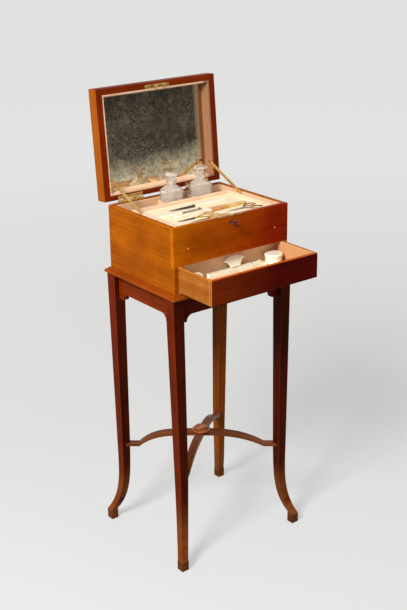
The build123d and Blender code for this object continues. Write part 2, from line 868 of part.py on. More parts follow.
def lock_bolt():
    """Sliding bar with two hooked fingers that enter the staples' eyes."""
    finger_low = bolt_finger_top - bolt_finger_height
    bar_top = rim - staple_length - staple_slot_clearance
    bar_low = bar_top - bolt_bar_height
    half_bar = lock_case_thickness / 2 - lock_wall - bolt_clearance
    half_finger = bolt_finger_width / 2
    finger_tip = staple_spacing / 2 - staple_thickness / 2 - bolt_finger_rest
    finger_start = finger_tip - bolt_finger_rest - bolt_travel - bolt_upright
    bolt = block(
        finger_start - staple_spacing, finger_start + bolt_upright, lock_y - half_bar, lock_y + half_bar,
        bar_low, bar_top,
    )
    y0, y1 = lock_y - half_finger, lock_y + half_finger
    for shift in (0, -staple_spacing):
        x0 = finger_start + shift
        bolt += block(x0, x0 + bolt_upright, y0, y1, bar_top, bolt_finger_top)
        bolt += block(x0, finger_tip + shift, y0, y1, finger_low, bolt_finger_top)
    return bolt


def key():
    """Shank, bit inside the lock and ring bow outside."""
    inner_end = lock_y + key_bit_thickness / 2
    outer_end = -half_depth - key_reach
    shank = rod((0, inner_end, key_z), key_shank_radius, inner_end - outer_end, (0, -1, 0))
    half_bit = key_bit_width / 2
    bit = block(
        -half_bit, half_bit, inner_end - key_bit_thickness, inner_end, key_z - key_bit_reach, key_z
    )
    ring_frame = Plane(origin=(0, outer_end - key_bow_hole, key_z), z_dir=(1, 0, 0))
    ring_face = Circle(key_bow_radius) - Circle(key_bow_hole)
    ring = extrude(ring_frame * ring_face, key_bow_thickness / 2, both=True)
    return shank + bit + ring


def escutcheon():
    frame = Plane(origin=(0, -half_depth, key_z), x_dir=(1, 0, 0), z_dir=(0, -1, 0))
    plate = extrude(frame * Ellipse(escutcheon_width / 2, escutcheon_height / 2), escutcheon_thickness)
    hole = rod(
        (0, -half_depth, key_z), key_shank_radius + key_clearance, escutcheon_thickness, (0, -1, 0)
    )
    return plate - hole


def stud(side):
    x = side * (half_width - stud_from_side)
    z = rim - stud_drop
    head = rod((x, -half_depth, z), stud_radius, stud_height, (0, -1, 0))
    head = fillet(head.faces().sort_by(Axis.Y)[0].edges(), stud_round)
    return head + rod((x, -half_depth, z), stud_pin_radius, stud_pin_length, (0, 1, 0))


# ---------------------------------------------------------------- drawer
def drawer_front():
    return block(
        -drawer_half_width, drawer_half_width, drawer_front_face, drawer_inner_front, drawer_base, drawer_top
    )


def drawer_side_right():
    return block(
        drawer_inner_x, drawer_half_width, drawer_inner_front, drawer_back_face, drawer_base, drawer_top
    )


def drawer_back():
    return block(
        -drawer_inner_x, drawer_inner_x, drawer_inner_back, drawer_back_face, drawer_base, drawer_top
    )


def drawer_bottom():
    low = drawer_base + drawer_bottom_raise
    return block(-drawer_inner_x, drawer_inner_x, drawer_inner_front, drawer_inner_back, low, drawer_floor)


def drawer_lining_tray():
    top = drawer_top - drawer_lining_drop
    outer = block(-drawer_inner_x, drawer_inner_x, drawer_inner_front, drawer_inner_back, drawer_floor, top)
    lined_front_face = drawer_inner_front + drawer_lining
    inner = block(-drawer_lined_x, drawer_lined_x, lined_front_face, drawer_lined_back, drawer_bed, top)
    return outer - inner


def pot_place():
    return Pos(drawer_lined_x - pot_from_side, drawer_lined_back - pot_from_back, drawer_bed)


def powder_pot():
    body = extrude(Circle(pot_radius), pot_height)
    body = fillet(body.faces().sort_by(Axis.Z)[0].edges(), pot_wall / 2)
    hollow = Pos(0, 0, pot_wall) * extrude(Circle(pot_radius - pot_wall), pot_height - pot_wall)
    return pot_place() * (body - hollow)


def powder_pot_lid():
    cap = Pos(0, 0, pot_height) * extrude(Circle(pot_lid_radius), pot_lid_height)
    cap = fillet(cap.faces().sort_by(Axis.Z)[-1].edges(), pot_lid_round)
    spigot_radius = pot_radius - pot_wall - pot_lid_clearance
    spigot = Pos(0, 0, pot_height - pot_lid_spigot) * extrude(Circle(spigot_radius), pot_lid_spigot)
    return pot_place() * (cap + spigot)


def glove_stretcher_tip_x():
    length_along = stretcher_tool_length * cos(radians(stretcher_tool_turn))
    return drawer_lined_x - stretcher_tool_right - length_along


def glove_stretcher():
    """Two long jaws that meet at a rounded tip, and two flared handles, seen in plan from the tip."""
    length = stretcher_tool_length
    pivot = stretcher_tool_jaws
    half_tip = stretcher_tool_tip / 2
    half_wide = stretcher_tool_width / 2
    half_handle = stretcher_tool_handle / 2
    tip_bend = half_tip * (1 - sqrt(0.5))
    upper = [
        ThreePointArc((0, 0), (tip_bend, half_tip - tip_bend), (half_tip, half_tip)),
        Spline((half_tip, half_tip), (pivot / 2, (half_tip + half_wide) / 2), (pivot, half_wide)),
        Spline((pivot, half_wide), ((pivot + length) / 2, half_wide), (length, half_handle)),
    ]
    lower = [mirror(edge, about=Plane.XZ) for edge in upper]
    end = ThreePointArc((length, half_handle), (length - half_tip, 0), (length, -half_handle))
    body = extrude(make_face([*upper, end, *lower]), stretcher_tool_thickness)
    half_slot = stretcher_tool_slot / 2
    body -= block(0, pivot - half_wide, -half_slot, half_slot, 0, stretcher_tool_thickness)
    body = body.rotate(Axis.Z, stretcher_tool_turn)
    tip_y = drawer_lined_back - stretcher_tool_from_back - length * sin(radians(stretcher_tool_turn))
    return Pos(glove_stretcher_tip_x(), tip_y, drawer_bed) * body


def crescent_polisher():
    """Flat crescent with a wide stem, leaning on the drawer's back over the glove stretcher."""
    half = polisher_width / 2
    crest = polisher_length
    horn_top = polisher_length - polisher_crescent
    horn_low = horn_top - polisher_horn
    half_stem = polisher_stem / 2
    hollow = (half + half_stem) / 2
    outline = make_face([
        Line((-half_stem, 0), (half_stem, 0)),
        ThreePointArc((half_stem, 0), (hollow, horn_low - polisher_horn), (half, horn_low)),
        Line((half, horn_low), (half, horn_top)),
        ThreePointArc((half, horn_top), (0, crest), (-half, horn_top)),
        Line((-half, horn_top), (-half, horn_low)),
        ThreePointArc((-half, horn_low), (-hollow, horn_low - polisher_horn), (-half_stem, 0)),
    ])
    plate = extrude(outline, polisher_thickness)
    plate = plate.rotate(Axis.X, polisher_lean)
    top_back = plate.bounding_box().max.Y
    lift = plate.bounding_box().min.Z
    place = Pos(
        polisher_x,
        drawer_lined_back - drawer_item_gap - top_back,
        drawer_bed + stretcher_tool_thickness + drawer_item_gap - lift,
    )
    return place * plate


def small_ivory_case():
    """Half-round case lying on its flat side against the drawer's back."""
    half = small_case_radius
    outline = make_face([
        Line((-half, 0), (half, 0)),
        ThreePointArc((half, 0), (0, half), (-half, 0)),
    ])
    back = drawer_lined_back - drawer_item_gap
    middle_x = glove_stretcher_tip_x() - small_case_gap - half
    frame = Plane(origin=(middle_x, back, drawer_bed), x_dir=(1, 0, 0), z_dir=(0, -1, 0))
    body = extrude(frame * outline, small_case_length)
    return fillet(body.edges().filter_by(GeomType.CIRCLE), small_case_round)


# ---------------------------------------------------------------- bottles
def bottle_section(size, corner, z):
    return Pos(0, 0, z) * chamfer(Rectangle(size, size).vertices(), corner)


def bottle(centre_x):
    """Square bottle with cut corners, sloping shoulder, neck and lip, hollow with a thick base."""
    shoulder_top = bottle_body_height + bottle_shoulder
    neck_top = shoulder_top + neck_height
    body = extrude(bottle_section(bottle_size, bottle_corner, 0), bottle_body_height)
    shoulder = loft([
        bottle_section(bottle_size, bottle_corner, bottle_body_height),
        bottle_section(bottle_shoulder_top, bottle_corner, shoulder_top),
    ], ruled=True)
    neck = Pos(0, 0, shoulder_top) * extrude(Circle(neck_radius), neck_height)
    lip = Pos(0, 0, neck_top - lip_height) * extrude(Circle(lip_radius), lip_height)
    lip = fillet(lip.edges().filter_by(GeomType.CIRCLE), lip_round)
    whole = body + shoulder + neck + lip
    inner_size = bottle_size - 2 * bottle_wall
    cavity_base = bottle_section(inner_size, bottle_corner, bottle_floor)
    cavity = extrude(cavity_base, bottle_body_height - bottle_floor)
    cavity += loft([
        bottle_section(inner_size, bottle_corner, bottle_body_height),
        bottle_section(2 * neck_bore, bottle_cavity_corner, shoulder_top),
    ], ruled=True)
    cavity += Pos(0, 0, shoulder_top) * extrude(Circle(neck_bore), neck_height)
    return Pos(centre_x, bottle_y, bottle_base) * (whole - cavity)


def stopper_place(centre_x):
    mouth = bottle_base + bottle_body_height + bottle_shoulder + neck_height
    return Pos(centre_x, bottle_y, mouth)


def stopper_plug():
    radius = neck_bore - stopper_clearance
    return Pos(0, 0, -stopper_plug_length) * extrude(Circle(radius), stopper_plug_length)


def flared_stopper():
    """Stopper that widens in flat facets towards a flat top."""
    low = RegularPolygon(flared_stopper_foot, stopper_facets)
    wide = Pos(0, 0, flared_stopper_flare) * RegularPolygon(flared_stopper_radius, stopper_facets)
    top = Pos(0, 0, flared_stopper_height) * RegularPolygon(flared_stopper_top, stopper_facets)
    head = loft([low, wide], ruled=True) + loft([wide, top], ruled=True)
    return stopper_place(left_bottle_x) * (head + stopper_plug())


def flat_stopper():
    """Flat disc on a stem."""
    stem = extrude(Circle(flat_stopper_stem_radius), flat_stopper_stem)
    disc = Pos(0, 0, flat_stopper_stem) * extrude(Circle(flat_stopper_radius), flat_stopper_height)
    disc = chamfer(disc.edges().filter_by(GeomType.CIRCLE), flat_stopper_edge)
    return stopper_place(right_bottle_x) * (stem + disc + stopper_plug())


# ---------------------------------------------------------------- tray implements, lying along X
def handle_bar(x0, x1, width, waist):
    """Rounded handle, of one width at its start and another at its end."""
    half0, half1 = width / 2, waist / 2
    outline = make_face(Polyline((x0, -half0), (x1, -half1), (x1, half1), (x0, half0), close=True))
    bar = extrude(outline, handle_thickness)
    return fillet(bar.edges(), handle_radius)


def leaf_blade(x_tip, x_base, width):
    """Pointed blade that bows out evenly from its tip to its base."""
    half = width / 2
    middle_x = (x_tip + x_base) / 2
    middle_y = half / sqrt(2)
    edge = [
        Spline((x_tip, 0), (middle_x, middle_y), (x_base, half)),
        Line((x_base, half), (x_base, -half)),
        Spline((x_base, -half), (middle_x, -middle_y), (x_tip, 0)),
    ]
    return extrude(make_face(edge), blade_thickness)


def laid(part, left_end, from_front):
    """An implement, modelled from its left end, laid on the tray's bed."""
    return Pos(left_end, bed_front + from_front, tray_bed) * part


def knife(blade_length, blade_width, handle_length, handle_width, end_width):
    """Blade to the left, its tip at the origin, and a handle to the right."""
    blade_low = (handle_thickness - blade_thickness) / 2
    blade = Pos(0, 0, blade_low) * leaf_blade(0, blade_length + handle_lap, blade_width)
    return blade + handle_bar(blade_length, blade_length + handle_length, handle_width, end_width)


def table_knife():
    whole = knife(
        knife_blade_length, knife_blade_width, knife_handle_length, knife_handle_width, knife_end_width,
    )
    return laid(whole, -bed_right + knife_from_left, knife_from_front)


def button_hook():
    middle = handle_thickness / 2
    shank_start = hook_handle_length - handle_lap
    shank_end = hook_handle_length + hook_shank_length
    shank = rod((shank_start, 0, middle), hook_radius, shank_end - shank_start, (1, 0, 0))
    arc = JernArc((shank_end, 0, middle), (1, 0, 0), hook_bend, hook_sweep)
    section = Plane(origin=arc @ 0, z_dir=arc % 0) * Circle(hook_radius)
    hook = sweep(section, path=arc)
    handle = handle_bar(0, hook_handle_length, hook_handle_width, hook_neck_width)
    return laid(handle + shank + hook, -bed_right + hook_from_left, hook_from_front)


def nail_buffer():
    """Long handle with a padded, leather-covered sole on its far half."""
    sole_start = buffer_handle_length
    sole_end = sole_start + buffer_sole_length
    handle = handle_bar(0, sole_start + handle_lap, buffer_handle_width, buffer_handle_width)
    sole = handle_bar(sole_start, sole_end, buffer_sole_width, buffer_sole_tip)
    return laid(handle + sole, bed_right - buffer_from_right - sole_end, buffer_from_front)


def scissors(pivot, shank_length, spread, ring_length, ring_width):
    """Closed scissors, tip to the left: two blades, crossed shanks and two finger rings."""
    wire = scissors_wire
    whole = leaf_blade(0, pivot + wire, scissors_blade_width)
    whole += rod((pivot, 0, 0), scissors_screw_radius, scissors_screw_height, (0, 0, 1))
    ring_x = pivot + shank_length - ring_length / 2
    for side in (-1, 1):
        ring_y = side * spread / 2
        ring = Ellipse(ring_length / 2, ring_width / 2)
        ring -= Ellipse(ring_length / 2 - wire, ring_width / 2 - wire)
        start_y = -side * wire / 2
        run_x = ring_x - ring_length / 2 + wire - pivot
        run_y = ring_y - start_y
        run = hypot(run_x, run_y)
        shank = extrude(Pos(run / 2, 0) * SlotOverall(run + wire, wire), wire)
        whole += Pos(pivot, start_y, 0) * shank.rotate(Axis.Z, degrees(atan2(run_y, run_x)))
        whole += Pos(ring_x, ring_y, 0) * extrude(ring, wire)
    return whole


def embroidery_scissors():
    whole = scissors(
        embroidery_blade_length, embroidery_shank_length, embroidery_spread,
        embroidery_ring_length, embroidery_ring_width,
    )
    return laid(whole, -bed_right + embroidery_from_left, embroidery_from_front)


def nail_scissors():
    whole = scissors(
        nail_scissors_blade_length, nail_scissors_shank_length, nail_scissors_spread,
        nail_scissors_ring_length, nail_scissors_ring_width,
    )
    length = nail_scissors_blade_length + nail_scissors_shank_length
    return laid(whole, bed_right - nail_scissors_from_right - length, nail_scissors_from_front)


def penknife():
    whole = knife(
        penknife_blade_length, penknife_blade_width,
        penknife_handle_length, penknife_handle_width, penknife_end_width,
    )
    return laid(whole, -bed_right + penknife_from_left, penknife_from_front)


# ---------------------------------------------------------------- assembly
def build():
    parts = {}
    legs = {
        "leg_front_left": leg(-1, -1),
        "leg_front_right": leg(1, -1),
        "leg_back_left": leg(-1, 1),
        "leg_back_right": leg(1, 1),
    }
    all_legs = Part() + list(legs.values())
    parts.update(legs)
    front_apron = apron_front() - all_legs
    left_apron = apron_left() - all_legs
    parts["apron_front"] = front_apron
    parts["apron_back"] = mirror(front_apron, about=Plane.XZ)
    parts["apron_left"] = left_apron
    parts["apron_right"] = mirror(left_apron, about=Plane.YZ)

    angle = stretcher_angle()
    boss = stretcher_boss()
    joint_height = stretcher_end_top + stretcher_rise - stretcher_crown_thickness / 2
    bar_one = stretcher_bar(angle, arch_power)
    bar_two = stretcher_bar(-angle, arch_power_back_left)
    parts["stretcher_under"] = bar_one - halving_cut(-angle, joint_height, 1) - all_legs - boss
    parts["stretcher_over"] = bar_two - halving_cut(angle, joint_height, -1) - all_legs - boss
    parts["stretcher_boss"] = boss
    parts["stand_top"] = stand_top()

    case_screws = hinge_screws("case")
    studs = stud(-1) + stud(1)
    side = case_side_right()
    parts["case_side_right"] = side
    parts["case_side_left"] = mirror(side, about=Plane.YZ)
    parts["case_back"] = case_back() - hinge_pockets("case") - case_screws
    parts["case_front"] = case_front() - lock_mortise() - studs
    parts["case_bottom"] = case_bottom()
    parts["dust_board"] = dust_board()
    parts["case_lining"] = case_lining()
    parts["implement_tray"] = implement_tray()
    parts["well_rack"] = well_rack()

    left_hinge, right_hinge = hinge_edges()
    case_leaves = hinge_leaf(left_hinge, "case") + hinge_leaf(right_hinge, "case") - case_screws
    parts["hinge_leaves_case"] = case_leaves
    parts["hinge_pins"] = hinge_pins()
    parts["hinge_screws_case"] = case_screws
    parts["lock_case"] = lock_case()
    parts["lock_bolt"] = lock_bolt()
    parts["key"] = key()
    parts["escutcheon"] = escutcheon()
    parts["front_studs"] = studs

    lid_screws = hinge_screws("lid")
    pivots = both_sides(stay_pivot_right())
    rails = [rail - hinge_pockets("lid") - lid_screws - strike_pocket() - pivots for rail in lid_frame()]
    parts["lid_frame"] = opened(Compound(rails))
    parts["lid_board"] = opened(lid_board())
    parts["lid_lining"] = opened(lid_lining() - pivots)
    parts["mirror"] = opened(mirror_glass())
    parts["strike_plate"] = opened(strike_plate())
    lid_leaves = hinge_leaf(left_hinge, "lid") + hinge_leaf(right_hinge, "lid") - lid_screws
    parts["hinge_leaves_lid"] = opened(lid_leaves)
    parts["hinge_screws_lid"] = opened(lid_screws)
    parts["stay_pivots"] = opened(pivots)
    stay = stay_right()
    parts["stay_right"] = stay
    parts["stay_left"] = mirror(stay, about=Plane.YZ)

    drawer_side = drawer_side_right()
    parts["drawer_front"] = drawer_front()
    parts["drawer_side_right"] = drawer_side
    parts["drawer_side_left"] = mirror(drawer_side, about=Plane.YZ)
    parts["drawer_back"] = drawer_back()
    parts["drawer_bottom"] = drawer_bottom()
    parts["drawer_lining"] = drawer_lining_tray()
    parts["powder_pot"] = powder_pot()
    parts["powder_pot_lid"] = powder_pot_lid()
    parts["glove_stretcher"] = glove_stretcher()
    parts["crescent_polisher"] = crescent_polisher()
    parts["small_ivory_case"] = small_ivory_case()

    parts["bottle_left"] = bottle(left_bottle_x)
    parts["bottle_right"] = bottle(right_bottle_x)
    parts["stopper_left"] = flared_stopper()
    parts["stopper_right"] = flat_stopper()

    parts["table_knife"] = table_knife()
    parts["button_hook"] = button_hook()
    parts["nail_buffer"] = nail_buffer()
    parts["embroidery_scissors"] = embroidery_scissors()
    parts["nail_scissors"] = nail_scissors()
    parts["penknife"] = penknife()
    return parts


def main():
    parts = build()
    front_most = parts["drawer_front"].bounding_box().min.Y
    back_most = parts["lid_board"].bounding_box().max.Y
    centring = -(front_most + back_most) / 2
    os.makedirs("parts", exist_ok=True)
    for name, part in parts.items():
        export_step(Pos(0, centring, 0) * part, f"parts/{name}.step")
    print(f"{len(parts)} parts, moved {centring:.3f} mm along Y")
    print(f"hinge pin at y {pin_y + centring:.3f}, z {pin_z:.3f}")
    pivot_y, pivot_z = stay_pivot_open()
    print(f"stay pivot at y {pivot_y + centring:.3f}, z {pivot_z:.3f}")
    print(f"key axis at z {key_z:.3f}")


if __name__ == "__main__":
    main()
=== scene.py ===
# %% [markdown]
# A dressing box stands on its own four-legged stand. Its sixty pieces already have their
# real size and place, so the lesson starts from them and only adds looks. They could be
# modelled again here, but then the looks and the moving parts would slowly drift apart.
# %% Load the pieces and note how big they are
import json
import math

import bmesh
import bpy
from mathutils import Matrix, Vector


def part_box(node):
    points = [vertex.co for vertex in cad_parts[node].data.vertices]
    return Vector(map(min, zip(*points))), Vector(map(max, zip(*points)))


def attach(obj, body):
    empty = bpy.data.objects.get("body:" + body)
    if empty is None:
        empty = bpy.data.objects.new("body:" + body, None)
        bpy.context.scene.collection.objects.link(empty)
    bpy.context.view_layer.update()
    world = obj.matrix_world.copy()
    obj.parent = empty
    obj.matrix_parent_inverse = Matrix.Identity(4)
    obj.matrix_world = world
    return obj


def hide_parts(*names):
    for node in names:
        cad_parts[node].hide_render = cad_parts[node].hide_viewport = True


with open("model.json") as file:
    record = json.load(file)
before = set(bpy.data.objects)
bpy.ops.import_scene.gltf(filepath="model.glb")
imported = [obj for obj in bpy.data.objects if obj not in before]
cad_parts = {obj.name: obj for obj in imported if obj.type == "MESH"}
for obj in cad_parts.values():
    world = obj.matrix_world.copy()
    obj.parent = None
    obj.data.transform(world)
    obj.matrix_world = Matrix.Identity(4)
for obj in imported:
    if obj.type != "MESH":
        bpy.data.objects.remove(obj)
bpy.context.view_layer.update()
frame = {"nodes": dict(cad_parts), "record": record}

# %% [markdown]
# The box is seen from its front left corner and from a little above, with a long lens, so
# the upright edges stay nearly parallel. A camera could be aimed with a constraint. Here
# its three axes are worked out from an eye point and an aim point, which also allows the
# very small roll.
# %% Place the camera
eye = Vector((-1.5327, -2.0014, 1.5567))
aim = Vector((0.01245, 0.03106, 0.5898))
roll = math.radians(-0.76)
forward = (aim - eye).normalized()
side = forward.cross(Vector((0, 0, 1))).normalized()
above = side.cross(forward)
right = side * math.cos(roll) + above * math.sin(roll)
up = above * math.cos(roll) - side * math.sin(roll)
camera_data = bpy.data.cameras.new("camera")
camera_data.lens = 66.73
camera_data.sensor_width = 36
camera = bpy.data.objects.new("camera", camera_data)
camera.matrix_world = Matrix.Translation(eye) @ Matrix((right, up, -forward)).transposed().to_4x4()
bpy.context.scene.collection.objects.link(camera)
bpy.context.scene.camera = camera
bpy.context.scene.view_settings.view_transform = "Standard"
print("camera stands", round((aim - eye).length, 3), "m away")

# %% [markdown]
# A finish is easier to read as a sum than as a web of wires. One small class stands for
# the output of a node, and adding or multiplying two of them adds the Math node. Stains
# are written as on a paint chart and turned into the numbers that the shaders work in.
# %% Write node sums as Python sums
def stain(red, green, blue):
    """A colour as a paint chart gives it, 0 to 255, made ready for the shaders."""
    parts = (red / 255, green / 255, blue / 255)
    return tuple(c / 12.92 if c <= 0.04045 else ((c + 0.055) / 1.055) ** 2.4 for c in parts)


class Signal:
    """One output of a node in a finish, which can be added to and multiplied."""
    def __init__(self, finish, socket):
        self.finish = finish
        self.socket = socket

    def combine(self, operation, first, second=0.0):
        return self.finish.node("ShaderNodeMath", {"operation": operation}, {0: first, 1: second})

    def __add__(self, other):
        return self.combine("ADD", self, other)

    def __mul__(self, other):
        return self.combine("MULTIPLY", self, other)

    def __sub__(self, other):
        return self.combine("SUBTRACT", self, other)

    def __rsub__(self, other):
        return self.combine("SUBTRACT", other, self)

    def __abs__(self):
        return self.combine("ABSOLUTE", self)

    __radd__ = __add__
    __rmul__ = __mul__


print("grey 128 on a paint chart is", round(stain(128, 128, 128)[0], 3), "in a shader")

# %% [markdown]
# Every finish reads the place of a point on the piece itself, so a pattern stays put when
# the lid or the drawer moves. One method adds any kind of node from its settings and its
# sockets. The helpers after it stretch that place, turn it into noise, fade between two
# colours and, last, build the one surface shader. The room is built with the same class.
# %% Helpers that every finish shares
class Finish:
    """The nodes of one finish, or those of the room when a world is given."""
    def __init__(self, name, world=None):
        self.material = world or bpy.data.materials.new(name)
        self.material.use_nodes = True
        self.tree = self.material.node_tree
        self.tree.nodes.clear()

    def node(self, kind, settings=None, sockets=None, out=0):
        made = self.tree.nodes.new(kind)
        for key, value in (settings or {}).items():
            setattr(made, key, value)
        for key, value in (sockets or {}).items():
            if isinstance(value, Signal):
                self.tree.links.new(value.socket, made.inputs[key])
            elif made.inputs[key].type == "RGBA":
                made.inputs[key].default_value = (*value[:3], 1)
            else:
                made.inputs[key].default_value = value
        return Signal(self, made.outputs[out]) if len(made.outputs) else None

    def vector(self, operation, first, second=(0, 0, 0), out="Vector"):
        return self.node("ShaderNodeVectorMath", {"operation": operation}, {0: first, 1: second}, out)

    def place(self, stretch=(1, 1, 1), turn=0.0):
        here = self.node("ShaderNodeTexCoord", out="Object")
        if turn:
            here = self.node("ShaderNodeVectorRotate", {"rotation_type": "Z_AXIS"},
                             {"Vector": here, "Angle": turn})
        return self.vector("MULTIPLY", here, stretch)

    def along(self, axis):
        return self.node("ShaderNodeSeparateXYZ", None, {0: self.place()}, axis)

    def noise(self, stretch, detail=3, turn=0.0, rough=0.55):
        here = self.place(stretch, turn)
        sockets = {"Vector": here, "Scale": 1.0, "Detail": detail, "Roughness": rough}
        return self.node("ShaderNodeTexNoise", None, sockets)

    def between(self, value, low, high, start=0.0, end=1.0):
        sockets = {"Value": value, "From Min": low, "From Max": high}
        sockets.update({"To Min": start, "To Max": end})
        return self.node("ShaderNodeMapRange", None, sockets)

    def fade(self, amount, first, second):
        return self.node("ShaderNodeMix", {"data_type": "RGBA"}, {0: amount, 6: first, 7: second}, 2)

    def worn(self):
        """1 on the faces of an eased edge and 0 elsewhere."""
        return self.node("ShaderNodeAttribute", {"attribute_name": "worn"}, None, "Fac")

    def shown(self):
        """Above 0 for a ray from the eye, off a bright piece or through glass."""
        names = ("Is Camera Ray", "Is Glossy Ray", "Is Transmission Ray")
        rays = [self.node("ShaderNodeLightPath", None, None, name) for name in names]
        return rays[0] + rays[1] + rays[2]

    def surface(self, colour, roughness, height=None, depth=0.0003, **fixed):
        sockets = {"Base Color": colour, "Roughness": roughness}
        sockets.update({name.replace("_", " "): value for name, value in fixed.items()})
        if height is not None:
            sockets["Normal"] = self.node("ShaderNodeBump", None, {"Height": height, "Distance": depth})
        shader = self.node("ShaderNodeBsdfPrincipled", None, sockets)
        self.node("ShaderNodeOutputMaterial", None, {"Surface": shader})
        return self.material


print("helpers", [name for name in vars(Finish) if not name.startswith("_")])

# %% [markdown]
# A leg is rubbed pale low down, and the block under it is dark, with one pale line near
# its top. Those faces could be given a paint of their own, but the rubbing fades away up
# the leg and stops at no edge, so it follows the height above the floor. The softness is
# how slowly the block and the line begin.
# %% Wear at the foot of a leg
foot_top = 0.0265
foot_line = 0.0251
rubbed_from, rubbed_to = 0.03, 0.17
softness = 0.0003


def worn_foot(finish, colour, patches):
    height = finish.along("Z")
    block = finish.between(height, foot_top - softness, foot_top + softness, 1.0, 0.0)
    line = block * finish.between(height, foot_line - softness, foot_line + softness)
    rubbed = finish.between(height, rubbed_from, rubbed_to, 0.75, 0.0)
    colour = finish.fade(rubbed * finish.between(patches, 0.34, 0.6), colour, stain(170, 100, 44))
    colour = finish.fade(block * 0.5, colour, stain(46, 28, 18))
    return finish.fade(line * 0.55, colour, stain(170, 120, 84))


print("foot block", foot_top, "m high, rubbed up to", rubbed_to, "m")

# %% [markdown]
# Polished mahogany shows long fine streaks, wide slow bands and short dark pores, all
# running with the board, and the polish has rubbed pale along its edges. A picture of
# wood could be wrapped round, but its grain would break at every corner. Noise that is
# stretched along the board runs through it as real grain does: run gives how many waves
# there are to the metre along the board, and then across it. A polished red wood turns
# grey in a pale room, so its shine is kept very low.
# %% Polished mahogany
def mahogany(name, axis, light, dark, shine=0.27, turn=0.0, foot=False, bleached=None, coat=0.016):
    finish = Finish(name)

    def run(long, cross):
        return tuple(long if letter == axis else cross for letter in "XYZ")

    streaks = finish.noise(run(4, 260), 5, turn, 0.66)
    bands = finish.noise(run(1.6, 34), 2, turn)
    pores = finish.noise(run(55, 1100), 2, turn)
    patches = finish.noise((12, 12, 12), 4)
    grain = finish.between(streaks * 0.6 + bands * 0.4, 0.31, 0.69)
    colour = finish.fade(grain, dark, light)
    if bleached:
        start, end, sunned = bleached
        sun = finish.between(finish.along("X"), start, end, 0.95, 0.0)
        colour = finish.fade(sun * (grain * 0.5 + 0.5), colour, sunned)
    pore_dark = tuple(c * 0.4 for c in dark)
    colour = finish.fade(finish.between(pores, 0.58, 0.7) * 0.34, colour, pore_dark)
    patch_dark = tuple(c * 0.7 for c in dark)
    colour = finish.fade(finish.between(patches, 0.4, 0.68) * 0.4, colour, patch_dark)
    if foot:
        colour = worn_foot(finish, colour, patches)
    pale = (light[0] * 1.3 + 0.02, light[1] * 1.6 + 0.016, light[2] * 1.3 + 0.003)
    worn_through = finish.between(patches, 0.3, 0.62, 0.35, 0.9)
    colour = finish.fade(finish.worn() * worn_through, colour, pale)
    polish = finish.between(patches + streaks * 0.3, 0.4, 0.9, shine, shine + 0.2)
    return finish.surface(colour, polish, pores + streaks * 0.5, 0.00012, Specular_IOR_Level=0.02,
                          Coat_Weight=coat, Coat_Roughness=0.12)


box_sun_start, box_sun_end = -0.165, 0.125
box_side = mahogany("mahogany_box_side", "Y", stain(194, 102, 6), stain(134, 60, 2))
box_face = mahogany("mahogany_box_front", "X", stain(172, 44, 2), stain(114, 23, 1),
                    bleached=(box_sun_start, box_sun_end, stain(220, 124, 7)))
box_rear = mahogany("mahogany_box_back", "X", stain(176, 88, 20), stain(122, 52, 7))
print("mahogany for the box:", box_side.name, box_face.name, box_rear.name)

# %% [markdown]
# The stand is darker than the box, with a paler moulding on top and glossier, browner
# stretchers. Each wood here is the same recipe with its own two stains and its own grain
# direction, and the legs' woods also draw the block under each foot.
# %% Mahogany for the stand
leg_wood = mahogany("mahogany_leg", "Z", stain(96, 26, 3), stain(46, 8, 1), foot=True)
# A lighter copy for the left legs' faces towards the lamp is painted light. The plain leg wood is kept
# dark for the faces turned from the lamp, partly painted shade.
leg_wood_lit_side = mahogany("mahogany_leg_lit_side", "Z", stain(136, 46, 3), stain(76, 17, 1),
                           foot=True)
leg_wood_pale = mahogany("mahogany_leg_pale", "Z", stain(158, 80, 18), stain(104, 46, 8),
                         foot=True)
# The long aprons are darkened beyond the wood's own tone: painted shade for the shadow under the
# drawer.
apron_wood_x_shaded = mahogany("mahogany_apron_long_shaded", "X", stain(106, 30, 4), stain(58, 13, 1))
apron_wood_y = mahogany("mahogany_apron_short", "Y", stain(146, 54, 8), stain(92, 28, 2))
ledge_wood = mahogany("mahogany_moulding", "X", stain(176, 84, 20), stain(122, 48, 9))
print("mahogany for the stand:", leg_wood.name, apron_wood_x_shaded.name, ledge_wood.name)

# %% [markdown]
# The lid and the drawer are made of several boards that have aged apart: the lid's sides
# are sunned outside, and the drawer's front is bleached towards its left end. The drawer's
# front also gets a painted highlight along its top, where the lamp lights it. So each gets
# two or three woods, which are given to faces later.
# %% Mahogany for the lid and the drawer
drawer_sun_start, drawer_sun_end = -0.155, 0.03
lid_wood = mahogany("mahogany_lid", "X", stain(142, 50, 8), stain(96, 27, 3))
lid_wood_up = mahogany("mahogany_lid_side", "Z", stain(146, 49, 7), stain(98, 26, 3))
lid_wood_out = mahogany("mahogany_lid_outside", "Z", stain(192, 106, 22), stain(146, 66, 8))
drawer_wood = mahogany("mahogany_drawer_front", "X", stain(104, 10, 1), stain(56, 4, 1),
                       bleached=(drawer_sun_start, drawer_sun_end, stain(138, 52, 8)))
# A bright copy for the top faces of the drawer's front: painted highlight.
drawer_lit_top_wood = mahogany("mahogany_drawer_lit_top", "X", stain(214, 100, 26), stain(176, 66, 10))
drawer_side_wood = mahogany("mahogany_drawer_side", "Y", stain(206, 128, 52), stain(148, 76, 22),
                            shine=0.4)
print("mahogany for the lid and the drawer:", lid_wood.name, drawer_wood.name)

# %% [markdown]
# The two stretchers cross from corner to corner, so their grain has to be turned to the
# way that each one runs. The angle could be typed in, but it would be wrong after any
# change to the stand, so it is measured from the piece itself.
# %% Mahogany for the crossed stretchers
def slope(node):
    """The angle, seen from above, at which a long piece lies."""
    spots = [v.co.xy for v in frame["nodes"][node].data.vertices]
    middle = sum(spots, Vector((0, 0))) / len(spots)
    lean = sum((s.x - middle.x) * (s.y - middle.y) for s in spots)
    wide = sum(abs(s.x - middle.x) for s in spots)
    deep = sum(abs(s.y - middle.y) for s in spots)
    return math.copysign(math.atan2(deep, wide), lean)


